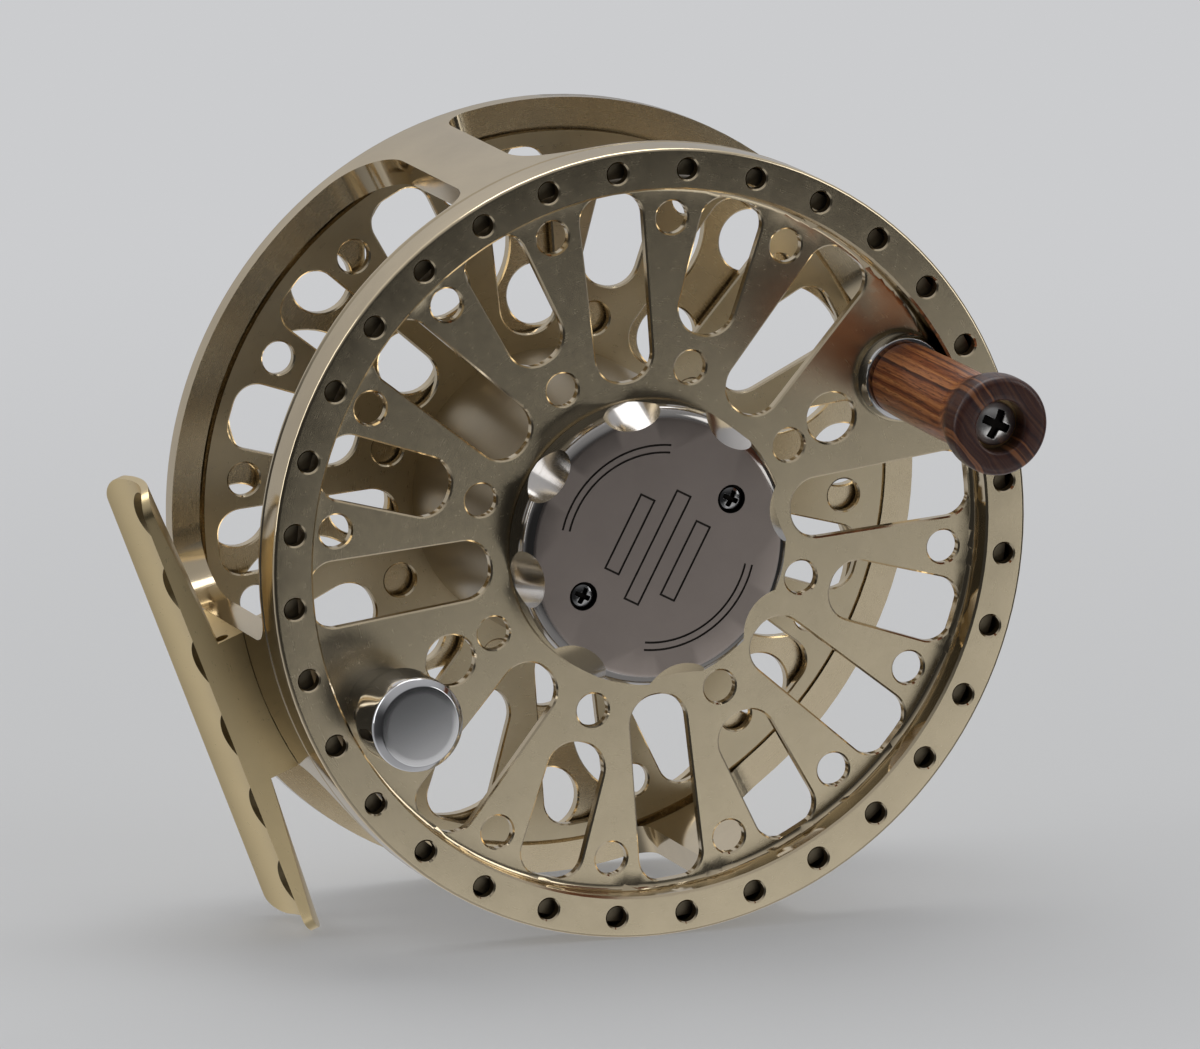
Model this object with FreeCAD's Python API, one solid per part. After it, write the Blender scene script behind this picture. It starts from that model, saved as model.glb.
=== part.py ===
"""Large-arbor fly reel with a palming rim, a ported spool and a sealed disc drag.

Millimetres. The spool turns about the Y axis, and +Z is up. The origin is on that axis, half way
between the two flanges that the line is wound between. The handle side faces -Y, the drag knob +Y.
Angles are in degrees, anticlockwise from +X as seen from the handle side.
"""
import FreeCAD, Part
import math
import os

# Spool
line_width = 34.0  # between the flanges
arbor_radius = 19.0
arbor_wall = 1.6
face_thickness = 1.5
rear_flange_thickness = 1.2
hub_web_thickness = 3.2
hub_mouth_gap = 1.2  # between the shaft and the hole of the spool's face
bore_step = 0.2  # between the bores of the front bearing and the clutch
spool_lip = 0.9  # in front of the front bearing
clutch_gap = 0.5
hub_gap = 0.6  # from the spool's hub to the drag housing
housing_room = 0.8  # round the drag housing, inside the arbor
spool_first_deg = 5.57  # turn of the whole port pattern about the axis
port_count = 16

# Palming rim, part of the spool
rim_radius = 52.75
rim_width = 5.5
rim_depth = 5.1
rim_front_wall = 1.5
rim_skirt_wall = 1.2
rim_inner_wall = 1.15
face_recess = 4.0
face_cove = 0.9
rim_edge_round = 0.5
rim_edge_break = 0.3
rim_hole_radius = 1.4
rim_hole_count = 32

# Ports and holes of the two flanges
long_port_inner = 21.2
short_port_inner = 28.0
port_margin = 0.85  # from the ports' outer ends to the rim's inner wall
port_half_inner = 3.9
port_half_outer = 4.5
port_inner_round = 3.75
port_outer_round = 3.25
small_hole_radius = 2.2
outer_hole_circle = 42.9
inner_hole_circle = 23.5
large_hole_radius = 3.4
large_hole_circle = 30.3
edge_break = 0.22

# Frame
frame_wall = 3.85
frame_gap = 0.6  # round the rear flange and round the ring inside the rim
rim_seam = 0.2  # between the rim and the frame behind it
back_plate_thickness = 1.8
back_plate_gap = 0.6
front_lip = 0.6
frame_edge_round = 0.25
window_gap = 0.3  # from the rear flange's face to the back of a window
foot_deg = 201.3  # direction of the foot
pillar_count = 4
pillar_half_deg = 5.0
foot_pillar_half_deg = 10.9
window_large_round = 9.0
window_small_round = 4.0
back_opening_count = 8
back_opening_radius = 10.2
back_opening_circle = 36.4
back_opening_first_deg = 23.8
back_hole_radius = 4.25  # of the smaller holes, in pairs between the openings
back_hole_outer_circle = 43.0
back_hole_inner_circle = 26.0
rear_edge_round = 1.0
boss_radius = 13.0
boss_height = 3.0

# Reel foot
foot_length = 65.0
foot_width = 15.0
foot_rise = 6.05  # seat line above the frame's wall
foot_edge = 3.0
foot_tip_edge = 1.1
foot_hollow_radius = 12.5
foot_skin = 0.5  # thickness at the middle of its width, without the bulge
foot_bulge = 1.3  # extra thickness at the middle of its width, less towards the tips
foot_tip_round = 3.0
foot_hole_count = 6
foot_hole_pitch = 10.9
foot_hole_radius = 3.7
foot_hole_depth = 1.2  # below the bottom of the hollow, over the stem
stem_length = 20.0
stem_hole_radius = 1.0
stem_hole_offset = 6.0
stem_hole_height = 2.0  # above the frame
foot_screw_radius = 1.5
foot_screw_head_radius = 2.7
foot_screw_pitch = 6.4
foot_screw_length = 6.4
foot_screw_sink = 0.35
foot_socket_radius = 0.95
foot_socket_depth = 1.05

# Shaft and bearings
shaft_radius = 4.0
clutch_shaft_radius = 6.0
clutch_radius = 9.0
clutch_length = 10.0
clutch_rollers = 10
front_bearing_radius = 8.0
front_bearing_width = 5.0
shaft_bearing_bore = 7.5
shaft_bearing_radius = 12.0
shaft_bearing_width = 5.0
tail_radius = 3.0
thread_radius = 3.5
thread_length = 4.4
thread_bevel = 0.4
hex_across = 12.6
hex_core_depth = 0.4  # of the round core below the hexagon's flats
hub_wall = 2.2
ball_share = 0.32  # ball's radius, as a share of the bearing's width or twice its section
race_share = 0.45  # half the gap between the races, as a share of the ball's radius
seal_section = 1.3
bearing_shoulder = 1.0
clutch_lip = 0.8
clutch_wall = 0.9
clutch_mouth_gap = 0.4
tail_reach = 2.0  # of the shaft's tail past the piston's flange

# Drag
housing_front = 1.5
housing_depth = 19.8
housing_shoulder = 1.0
housing_bevel = 1.0
housing_screw_count = 4
housing_screw_radius = 0.8
housing_screw_head = 1.5
housing_screw_sink = 0.9
housing_screw_length = 4.0
housing_screw_circle = 14.9
housing_screw_first_deg = 45.0
housing_socket_radius = 0.6
housing_post_radius = 1.7
housing_post_gap = 0.8
housing_seal_radius = 0.42
seal_groove_depth = 0.6
seal_groove_width = 1.0
seal_groove_gap = 1.4  # from the groove to the frame's plate
key_count = 3
key_length = 2.0
key_half_width = 1.4
key_gap = 0.25  # from a tab's end to the end of its keyway
keyway_end_gap = 1.2
disc_outer = 14.4
disc_inner = 8.6
carbon_thickness = 1.0
steel_thickness = 0.8
steel_disc_count = 3
pressure_thickness = 1.5
spring_height = 2.2
spring_sheet = 0.5
spring_cone = 0.1
spring_gap = 0.5
drag_travel = 0.46
piston_radius = 9.0
piston_flat = 7.4
piston_flange = 3.0
piston_stem_radius = 6.0
piston_stem_length = 8.4
piston_bore_room = 0.8

# Drag knob
knob_radius = 16.0
knob_height = 10.4
knob_gap = 0.5
knob_front_bevel = 0.6
knob_edge_round = 1.4
knob_dish_radius = 6.5
knob_dish_depth = 0.6
knob_thread_gap = 0.4
knob_clicks = 24
knob_scallops = 10
knob_scallop_radius = 4.2
knob_scallop_depth = 1.4
dimple_depth = 0.5
dimple_gap = 0.25  # from the detent ball to a dimple's side
detent_radius = 0.8
detent_depth = 2.2
detent_shift = 0.2  # from the middle of the boss's wall
detent_wire = 0.25
clip_start = 1.0
clip_width = 0.9
clip_sink = 0.8
clip_reach = 0.7
clip_split = 3.0

# Click
click_teeth = 60
click_gear_radius = 13.4
click_gear_width = 2.0
click_tooth_depth = 0.7
pawl_pin_radius = 0.9
pawl_radius = 15.2
pawl_mesh = 0.15  # how far the nose stands in between the teeth
pawl_half_width = 0.8
pawl_deg = 60.0
pawl_eye_wall = 0.65
pawl_pin_head = 0.5
pawl_pin_depth = 1.2
pawl_spring_turn = 11.0  # from the pawl to its spring's post
pawl_spring_post = 0.4
pawl_spring_wire = 0.2
click_gap = 0.4

# Spool cap
cap_radius = 18.8
cap_height = 5.5
cap_bevel = 1.9
cap_bevel_height = 2.4
cap_edge_break = 0.3
cap_face_wall = 1.4
cap_scallops = 8
cap_scallop_radius = 6.5
cap_scallop_depth = 2.4  # at the front of the cap
cap_scallop_tilt = 27.0  # each scallop runs out towards the back
cap_first_deg = 10.0
cap_screw_circle = 11.85
cap_screw_radius = 1.9
cap_screw_deg = 28.9
cap_screw_shank = 1.0
cap_screw_depth = 1.3
cap_screw_sink = 0.15
insert_rim = 1.4
insert_depth = 2.3
insert_radius = 6.2
cap_washer_thickness = 0.5
cap_washer_width = 2.6
cap_clear = 0.3
engraving_width = 0.28
engraving_depth = 0.15
engraving_arc_radii = (13.7, 12.7)
engraving_arc_deg = 84.0
engraving_arc_first_deg = 82.0
engraving_bar_width = 2.4
engraving_bar_pitch = 4.4
engraving_bar_length = 11.0  # of the two outer bars
engraving_middle_length = 16.0
engraving_deg = 62.0  # direction of the bars

# Handle and counterweight
handle_circle = 41.0
collar_radius = 6.05
collar_foot_radius = 5.3
collar_top_radius = 5.5
collar_height = 2.8
collar_break = 0.25
post_radius = 2.6
grip_length = 33.0
grip_base_radius = 5.2
grip_waist_radius = 5.0
grip_tip_radius = 6.6
grip_flare = 6.5
grip_bore_radius = 3.5
grip_break = 0.45
grip_tip_round = 1.9
grip_mouth_round = 0.65
bush_length = 6.0
handle_screw_head = 2.9
handle_screw_recess = 1.6
handle_screw_shank = 1.25
handle_screw_length = 5.5
post_spigot_radius = 2.0
screw_head_height = 1.7
weight_circle = 41.1
weight_radius = 6.3
weight_neck_radius = 4.9
weight_height = 14.3
weight_neck_height = 6.6
weight_bevel = 0.9
weight_break = 0.4
rear_screw_head = 3.6
rear_screw_height = 1.2
rear_screw_shank = 1.0
rear_screw_length = 2.8

# Cross recesses of the screw heads
cap_cross = 1.35
handle_cross = 1.7
rear_cross = 1.4
cross_depth_share = 0.62
cross_arm_share = 0.17
cross_end_share = 0.45
cross_core_share = 0.62

# Clearances
running = 0.05  # radial, where a shaft turns in a bore
seat = 0.02  # radial, where two fixed pieces fit
play = 0.3  # between faces that move past each other
thin = 0.1  # axial, between stacked pieces
stem_seam = 0.05  # between the stem and the frame's wall
past = 1.0  # how far a cutter runs past its work
overlap = 0.2  # how far blocks that are fused run into each other
mid_round = 1 - math.sqrt(0.5)  # depth of a round's middle, as a share of its radius

# Places along the axis
face_back = -line_width / 2
face_front = face_back - face_thickness
rim_front = face_front - face_recess
rim_back = rim_front + rim_depth
flange_front = line_width / 2
flange_back = flange_front + rear_flange_thickness
plate_front = flange_back + back_plate_gap
plate_back = plate_front + back_plate_thickness
boss_back = plate_back + boss_height
frame_front = rim_back + rim_seam

# Places from the axis outwards
rim_inner_radius = rim_radius - rim_width
channel_outer = rim_radius - rim_skirt_wall
channel_inner = rim_inner_radius + rim_inner_wall
frame_inner = rim_radius - frame_wall
rear_flange_radius = frame_inner - frame_gap
rim_hole_circle = rim_radius - rim_width / 2
port_outer = rim_inner_radius - port_margin
foot_height = rim_radius + foot_rise
detent_place = (piston_radius + boss_radius) / 2 + detent_shift
handle_deg = spool_first_deg + 360.0 / port_count
arbor_inner = arbor_radius - arbor_wall
insert_flange_radius = cap_screw_circle + cap_screw_radius + insert_rim

# Places of the shaft's stations, from the handle side
front_bearing_start = face_front + spool_lip
clutch_start = front_bearing_start + front_bearing_width + clutch_gap
housing_start = plate_front - housing_depth
shaft_bearing_start = housing_start + housing_front
shoulder_start = shaft_bearing_start + shaft_bearing_width
disc_start = shoulder_start + housing_shoulder + thin
disc_stack = (steel_disc_count + 1) * (carbon_thickness + thin) + steel_disc_count * (steel_thickness + thin)
pressure_start = disc_start + disc_stack + drag_travel
spring_start = pressure_start + pressure_thickness + thin
piston_start = spring_start + spring_height + thin
tail_start = spring_start + hex_core_depth
hub_end = housing_start - hub_gap
click_gear_start = hub_end - click_gear_width - click_gap
housing_radius = arbor_inner - housing_room

Y = FreeCAD.Vector(0, 1, 0)

# Directions of the foot, and its places along and outwards
foot_angle = math.radians(foot_deg)
foot_out = FreeCAD.Vector(math.cos(foot_angle), 0, math.sin(foot_angle))
foot_down = FreeCAD.Vector(-math.sin(foot_angle), 0, math.cos(foot_angle))
# The lower tip of the foot comes down to the floor that the rim stands on.
tip_reach = (-rim_radius - foot_height * foot_out.z) / foot_down.z
foot_shift = tip_reach - foot_length / 2
stem_deg = foot_deg + math.degrees(foot_shift / rim_radius)
foot_sag = foot_hollow_radius - math.sqrt(foot_hollow_radius ** 2 - (foot_width / 2) ** 2)
through_depth = foot_sag + foot_skin + foot_bulge + foot_edge / 2


def vec(x, y, z):
    """Return a vector."""
    return FreeCAD.Vector(x, y, z)


def turned(points):
    """Revolve a closed outline of (radius, y) points about the Y axis.

    A point with four numbers (radius, y, end radius, end y) is an arc through the first pair.
    """
    edges = []
    start = vec(points[0][0], points[0][1], 0)
    last = start
    for point in points[1:] + [points[0]]:
        end = vec(point[-2], point[-1], 0)
        if len(point) == 4:
            edges.append(Part.Arc(last, vec(point[0], point[1], 0), end).toShape())
        elif (end - last).Length > 1e-6:
            edges.append(Part.makeLine(last, end))
        last = end
    return Part.Face(Part.Wire(edges)).revolve(vec(0, 0, 0), Y, 360)


def rod(radius, y0, y1, x=0.0, z=0.0):
    """Return a cylinder along Y from y0 to y1."""
    return Part.makeCylinder(radius, y1 - y0, vec(x, y0, z), Y)


def ring(outer, inner, y0, y1, x=0.0, z=0.0):
    """Return a tube along Y from y0 to y1."""
    return rod(outer, y0, y1, x, z).cut(rod(inner, y0 - past, y1 + past, x, z))


def at_angle(shape, degrees):
    """Return a copy turned about the Y axis, anticlockwise as seen from the handle side."""
    copy = shape.copy()
    copy.rotate(vec(0, 0, 0), Y, -degrees)
    return copy


def around(shape, count, first_deg):
    """Return count copies evenly spaced about the Y axis."""
    return [at_angle(shape, first_deg + 360.0 * i / count) for i in range(count)]


def fused(shapes):
    """Return one clean solid."""
    whole = shapes[0]
    if len(shapes) > 1:
        whole = whole.fuse(shapes[1:])
    return whole.removeSplitter()


def hole_places(circle, degrees):
    """Return x and z on a circle about the axis."""
    angle = math.radians(degrees)
    return circle * math.cos(angle), circle * math.sin(angle)


def polygon_prism(corners, y0, y1):
    """Return a prism along Y over a closed outline of (x, z) corners."""
    points = [vec(x, y0, z) for x, z in corners]
    face = Part.Face(Part.makePolygon(points + points[:1]))
    return face.extrude(vec(0, y1 - y0, 0))


def rounded_port(inner, outer, y0, y1):
    """Return the cutter of one tapered port, lying along +X, full round at its inner end."""
    corners = [(inner, -port_half_inner), (outer, -port_half_outer), (outer, port_half_outer),
               (inner, port_half_inner)]
    prism = polygon_prism(corners, y0, y1)
    for x, radius in ((inner, port_inner_round), (outer, port_outer_round)):
        ends = [e for e in prism.Edges if abs(e.tangentAt(e.FirstParameter).y) > 0.99
                and abs(e.CenterOfMass.x - x) < 1e-6]
        prism = prism.makeFillet(radius, ends)
    return prism


def port_cutters(y0, y1, whole_pattern):
    """Return the cutters of one flange.

    The handle side leaves out the ports and holes beside the handle and the counterweight, and has
    one larger hole on each of those two lines instead.
    """
    step = 360.0 / port_count
    cutters = []
    for i in range(port_count // 2):
        cutters.append(at_angle(rounded_port(long_port_inner, port_outer, y0, y1),
                                spool_first_deg + 2 * i * step))
        short_deg = handle_deg + 2 * i * step
        if whole_pattern or i not in (0, port_count // 4):
            cutters.append(at_angle(rounded_port(short_port_inner, port_outer, y0, y1), short_deg))
        else:
            cutters.append(rod(large_hole_radius, y0, y1, *hole_places(large_hole_circle, short_deg)))
        cutters.append(rod(small_hole_radius, y0, y1, *hole_places(inner_hole_circle, short_deg)))
    beside = (0, port_count - 1, port_count // 2 - 1, port_count // 2)
    for i in range(port_count):
        if whole_pattern or i not in beside:
            place = hole_places(outer_hole_circle, handle_deg + (i + 0.5) * step)
            cutters.append(rod(small_hole_radius, y0, y1, *place))
    return cutters


def with_broken_edges(shape, y, outer_radius):
    """Return the plate with the edges of its cuts broken on the face at y."""
    edges = []
    for edge in shape.Edges:
        box = edge.BoundBox
        flat = abs(box.YMin - y) < 1e-6 and abs(box.YMax - y) < 1e-6
        if flat and not (hasattr(edge.Curve, "Radius") and abs(edge.Curve.Radius - outer_radius) < 1e-3):
            edges.append(edge)
    return shape.makeChamfer(edge_break, edges)


def make_spool():
    """Return the one-piece spool: rim, ported face, hub, arbor drum and ported rear flange."""
    face = rod(channel_inner - overlap, face_front, face_back)
    face = face.cut(Part.makeCompound(port_cutters(face_front - past, face_back + past, False)))
    face = with_broken_edges(face, face_front, channel_inner - overlap)
    face = with_broken_edges(face, face_back, channel_inner - overlap)
    rim = turned([
        (rim_inner_radius + rim_edge_break, rim_front),
        (rim_radius - rim_edge_round, rim_front),
        (rim_radius - mid_round * rim_edge_round, rim_front + mid_round * rim_edge_round,
         rim_radius, rim_front + rim_edge_round),
        (rim_radius, rim_back - rim_edge_break),
        (rim_radius - rim_edge_break, rim_back),
        (channel_outer, rim_back),
        (channel_outer, rim_front + rim_front_wall),
        (channel_inner, rim_front + rim_front_wall),
        (channel_inner, face_back),
        (rim_inner_radius - face_cove, face_back),
        (rim_inner_radius - face_cove, face_front),
        (rim_inner_radius - mid_round * face_cove, face_front - mid_round * face_cove,
         rim_inner_radius, face_front - face_cove),
        (rim_inner_radius, rim_front + rim_edge_break),
    ])
    holes = [rod(rim_hole_radius, rim_front - past, rim_front + rim_front_wall + overlap,
                 rim_hole_circle, 0)]
    holes.append(turned_cone(rim_hole_radius, rim_front, rim_hole_circle))
    cutter = Part.makeCompound(holes)
    rim = rim.cut(Part.makeCompound(around(cutter, rim_hole_count, spool_first_deg)))
    hub = turned([
        (shaft_radius + hub_mouth_gap, face_front),
        (arbor_radius, face_front),
        (arbor_radius, flange_back),
        (arbor_inner, flange_back),
        (arbor_inner, face_front + hub_web_thickness),
        (clutch_radius + seat + hub_wall, face_front + hub_web_thickness),
        (clutch_radius + seat + hub_wall, hub_end),
        (clutch_radius + seat, hub_end),
        (clutch_radius + seat, clutch_start - bore_step),
        (front_bearing_radius + seat, clutch_start - bore_step),
        (front_bearing_radius + seat, front_bearing_start),
        (shaft_radius + hub_mouth_gap, front_bearing_start),
    ])
    rear = ring(rear_flange_radius, arbor_inner + overlap, flange_front, flange_back)
    rear = rear.cut(Part.makeCompound(port_cutters(flange_front - past, flange_back + past, True)))
    rear = with_broken_edges(rear, flange_front, rear_flange_radius)
    cut_clear = rod(arbor_radius - overlap, face_front - past, face_back + past)
    spool = fused([rim, face.cut(cut_clear), hub, rear])
    post_hole = rod(post_spigot_radius + seat, face_front - past, face_back + past)
    for circle, degrees in ((handle_circle, handle_deg), (weight_circle, handle_deg + 180)):
        x, z = hole_places(circle, degrees)
        hole = post_hole.copy()
        hole.translate(vec(x, 0, z))
        spool = spool.cut(hole)
    return spool


def turned_cone(radius, y, x):
    """Return the cutter that breaks the front edge of a hole of this radius at (x, y)."""
    return Part.makeCone(radius + edge_break, radius, edge_break, vec(x, y, 0), Y)


def ball_bearing(bore, outer, y0, width, count):
    """Return the outer race, the inner race and the balls of a bearing on the axis."""
    middle = (bore + outer) / 2
    section = (outer - bore) / 2
    ball = ball_share * min(section * 2, width)
    groove = Part.makeTorus(middle, ball + running, vec(0, y0 + width / 2, 0), Y)
    outer_race = ring(outer, middle + race_share * ball, y0, y0 + width).cut(groove)
    inner_race = ring(middle - race_share * ball, bore + seat, y0, y0 + width).cut(groove)
    one = Part.makeSphere(ball, vec(middle, y0 + width / 2, 0))
    return outer_race, inner_race, Part.makeCompound(around(one, count, 0))


def sector(y0, y1, start_deg, end_deg):
    """Return the block of the frame wall between two angles, deeper than the wall both ways."""
    inner = frame_inner - frame_wall
    outer = rim_radius + frame_wall
    corners = [vec(inner, y0, 0), vec(outer, y0, 0), vec(outer, y1, 0), vec(inner, y1, 0)]
    face = Part.Face(Part.makePolygon(corners + corners[:1]))
    return at_angle(face.revolve(vec(0, 0, 0), Y, -(end_deg - start_deg)), start_deg)


def window(start_deg, end_deg, front_round, rear_round):
    """Return the cutter of one window of the frame wall, with its four corners rounded."""
    y0 = frame_front + front_lip
    y1 = flange_front + window_gap
    block = sector(y0, y1, start_deg, end_deg)
    for y, radius in ((y0, front_round), (y1, rear_round)):
        edges = []
        for edge in block.Edges:
            box = edge.BoundBox
            radial = isinstance(edge.Curve, (Part.Line, Part.LineSegment))
            if radial and abs(box.YMin - y) < 1e-6 and abs(box.YMax - y) < 1e-6:
                edges.append(edge)
        block = block.makeFillet(radius, edges)
    return block


def pillar_edges():
    """Return the angles of each pillar's two edges, the foot's pillar first."""
    edges = [(stem_deg - foot_pillar_half_deg, stem_deg + foot_pillar_half_deg)]
    for i in range(1, pillar_count):
        middle = foot_deg + i * 360.0 / pillar_count
        edges.append((middle - pillar_half_deg, middle + pillar_half_deg))
    return edges


def piston_shape(radius, flat, y0, y1):
    """Return a disc with two flats, which can slide in a bore of the same shape but can't turn."""
    between = Part.makeBox(2 * flat, y1 - y0, 4 * radius, vec(-flat, y0, -2 * radius))
    return rod(radius, y0, y1).common(between)


def make_frame():
    """Return the one-piece frame: back plate, wall with four windows, and the ring inside the rim."""
    shell = turned([
        (frame_inner, frame_front),
        (rim_radius - frame_edge_round, frame_front),
        (rim_radius, frame_front + frame_edge_round),
        (rim_radius, plate_back - rear_edge_round),
        (rim_radius - mid_round * rear_edge_round, plate_back - mid_round * rear_edge_round,
         rim_radius - rear_edge_round, plate_back),
        (frame_inner, plate_back),
    ])
    edges = pillar_edges()
    for i, (start, end) in enumerate(edges):
        following = edges[(i + 1) % len(edges)][0] + (360.0 if i + 1 == len(edges) else 0.0)
        rounds = (window_large_round, window_small_round)
        if i % 2:
            rounds = rounds[::-1]
        shell = shell.cut(window(end, following, *rounds))
    ring_start = rim_front + rim_front_wall + frame_gap
    inner_ring = ring(channel_outer - frame_gap, frame_inner, ring_start, frame_front + front_lip)
    plate = ring(frame_inner + past, boss_radius - past, plate_front, plate_back)
    opening = rod(back_opening_radius, plate_front - past, plate_back + past, back_opening_circle, 0)
    openings = around(opening, back_opening_count, back_opening_first_deg)
    for circle in (back_hole_outer_circle, back_hole_inner_circle):
        hole = rod(back_hole_radius, plate_front - past, plate_back + past, circle, 0)
        openings += around(hole, back_opening_count, back_opening_first_deg - 180.0 / back_opening_count)
    plate = plate.cut(Part.makeCompound(openings))
    plate = with_broken_edges(plate, plate_front, frame_inner + past)
    plate = with_broken_edges(plate, plate_back, frame_inner + past)
    boss = rod(boss_radius, plate_front, boss_back)
    frame = fused([shell, inner_ring, plate, boss])
    frame = frame.cut(piston_shape(piston_radius + running, piston_flat + running, plate_front - 1,
                                   boss_back + past))
    frame = frame.cut(ring(boss_radius + past, boss_radius - clip_sink, plate_back + clip_start,
                            plate_back + clip_start + clip_width))
    for cutter in housing_screw_shapes(seat):
        frame = frame.cut(cutter)
    for cutter in foot_screw_shapes(seat, frame_inner - past):
        frame = frame.cut(cutter)
    return frame.cut(rod(detent_radius + seat, boss_back - detent_depth, boss_back + past, detent_place, 0))


def foot_point(along, out, across):
    """Return a point of the foot: along its length, out from the spool axis, across its width."""
    place = foot_out * out + foot_down * (along + foot_shift)
    return place + Y * across


def foot_section(along, edge):
    """Return the outline across the foot: hollow on its seat, bulged below, with straight sides."""
    half = foot_width / 2
    under = foot_height - edge
    seat_arc = Part.Arc(foot_point(along, foot_height, -half), foot_point(along, foot_height - foot_sag, 0),
                        foot_point(along, foot_height, half)).toShape()
    low = foot_height - foot_sag - foot_skin - foot_bulge * edge / foot_edge
    under_arc = Part.Arc(foot_point(along, under, half), foot_point(along, low, 0),
                         foot_point(along, under, -half)).toShape()
    sides = [Part.makeLine(foot_point(along, foot_height, half), foot_point(along, under, half)),
             Part.makeLine(foot_point(along, under, -half), foot_point(along, foot_height, -half))]
    return Part.Wire([seat_arc, sides[0], under_arc, sides[1]])


def make_foot():
    """Return the reel foot with its stem, lightening holes and screw holes."""
    half_length = foot_length / 2
    half_stem = stem_length / 2
    stations = [(-half_length, foot_tip_edge), (-half_stem, foot_edge), (half_stem, foot_edge),
                (half_length, foot_tip_edge)]
    blade = Part.makeLoft([foot_section(*s) for s in stations], True, True)
    half = foot_width / 2
    inside = rim_radius - 2 * past
    corners = [(-half_length, -half), (half_length, -half), (half_length, half), (-half_length, half)]
    outline = [foot_point(a, inside, w) for a, w in corners]
    plan = Part.Face(Part.makePolygon(outline + outline[:1]))
    slab = plan.extrude(foot_out * (foot_height + past - inside))
    upright = [e for e in slab.Edges if abs(e.tangentAt(e.FirstParameter).dot(foot_out)) > 0.99]
    blade = blade.common(slab.makeFillet(foot_tip_round, upright))
    corners = [(-half_stem, -half), (half_stem, -half), (half_stem, half), (-half_stem, half)]
    outline = [foot_point(a, inside, w) for a, w in corners]
    stem_top = foot_height - foot_edge + 2 * overlap
    stem = Part.Face(Part.makePolygon(outline + outline[:1])).extrude(foot_out * (stem_top - inside))
    stem = stem.cut(rod(rim_radius + stem_seam, -half - past, half + past))
    foot = fused([blade, stem])
    for i in range(foot_hole_count):
        along = (i - (foot_hole_count - 1) / 2) * foot_hole_pitch
        blind = abs(along) < half_stem
        bottom = foot_height - foot_sag - foot_hole_depth if blind else foot_height - through_depth
        hole = Part.makeCylinder(foot_hole_radius, foot_height + past - bottom,
                                 foot_point(along, bottom, 0), foot_out)
        foot = foot.cut(hole)
    for side in (-1, 1):
        start = foot_point(-half_stem - past, rim_radius + stem_hole_height, side * stem_hole_offset)
        foot = foot.cut(Part.makeCylinder(stem_hole_radius, stem_length + 2 * past, start, foot_down))
    for cutter in foot_screw_shapes(seat, frame_inner - past):
        foot = foot.cut(cutter)
    return foot


def foot_screw_shapes(clearance, start_radius):
    """Return the two foot screws, countersunk in the wall from inside the frame."""
    screws = []
    for side in (-1, 1):
        base = foot_point(0, 0, side * foot_screw_pitch / 2)
        head_top = frame_inner + foot_screw_sink
        drop = foot_screw_head_radius - foot_screw_radius
        head = Part.makeCone(foot_screw_head_radius + clearance, foot_screw_radius + clearance, drop,
                             base + foot_out * head_top, foot_out)
        shank = Part.makeCylinder(foot_screw_radius + clearance, foot_screw_length + clearance,
                                  base + foot_out * head_top, foot_out)
        screw = head.fuse(shank)
        if clearance > 0:
            mouth = Part.makeCylinder(foot_screw_head_radius + clearance, head_top - start_radius,
                                      base + foot_out * start_radius, foot_out)
            screw = screw.fuse(mouth)
        screws.append(screw)
    return screws


def make_foot_screws():
    """Return the two foot screws, each with a hexagon socket."""
    screws = []
    for side, screw in zip((-1, 1), foot_screw_shapes(0.0, 0.0)):
        base = foot_point(0, 0, side * foot_screw_pitch / 2)
        socket = Part.makeCylinder(foot_socket_radius, foot_screw_sink + foot_socket_depth,
                                   base + foot_out * frame_inner, foot_out)
        screws.append(screw.cut(socket))
    return Part.makeCompound(screws)


def housing_screw_shapes(clearance):
    """Return the screws that hold the drag housing, sunk flush in the back plate from behind."""
    x, z = hole_places(housing_screw_circle, 0)
    head_start = plate_back - housing_screw_sink
    screw = rod(housing_screw_head + clearance, head_start, plate_back + clearance, x, z)
    shank = rod(housing_screw_radius + clearance, head_start - housing_screw_length, head_start, x, z)
    return around(screw.fuse(shank), housing_screw_count, housing_screw_first_deg)


def make_housing_screws():
    """Return the four housing screws with their sockets."""
    x, z = hole_places(housing_screw_circle, 0)
    socket = rod(housing_socket_radius, plate_back - housing_socket_radius, plate_back + past, x, z)
    sockets = around(socket, housing_screw_count, housing_screw_first_deg)
    screws = [s.cut(h) for s, h in zip(housing_screw_shapes(0.0), sockets)]
    return Part.makeCompound(screws)


def key_slots(radius, y0, y1, clearance):
    """Return three keys of the drag stack, standing out past this radius."""
    half = key_half_width + clearance
    key = Part.makeBox(key_length, y1 - y0, 2 * half, vec(radius - key_length / 2, y0, -half))
    return around(key, key_count, 0.0)


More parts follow.
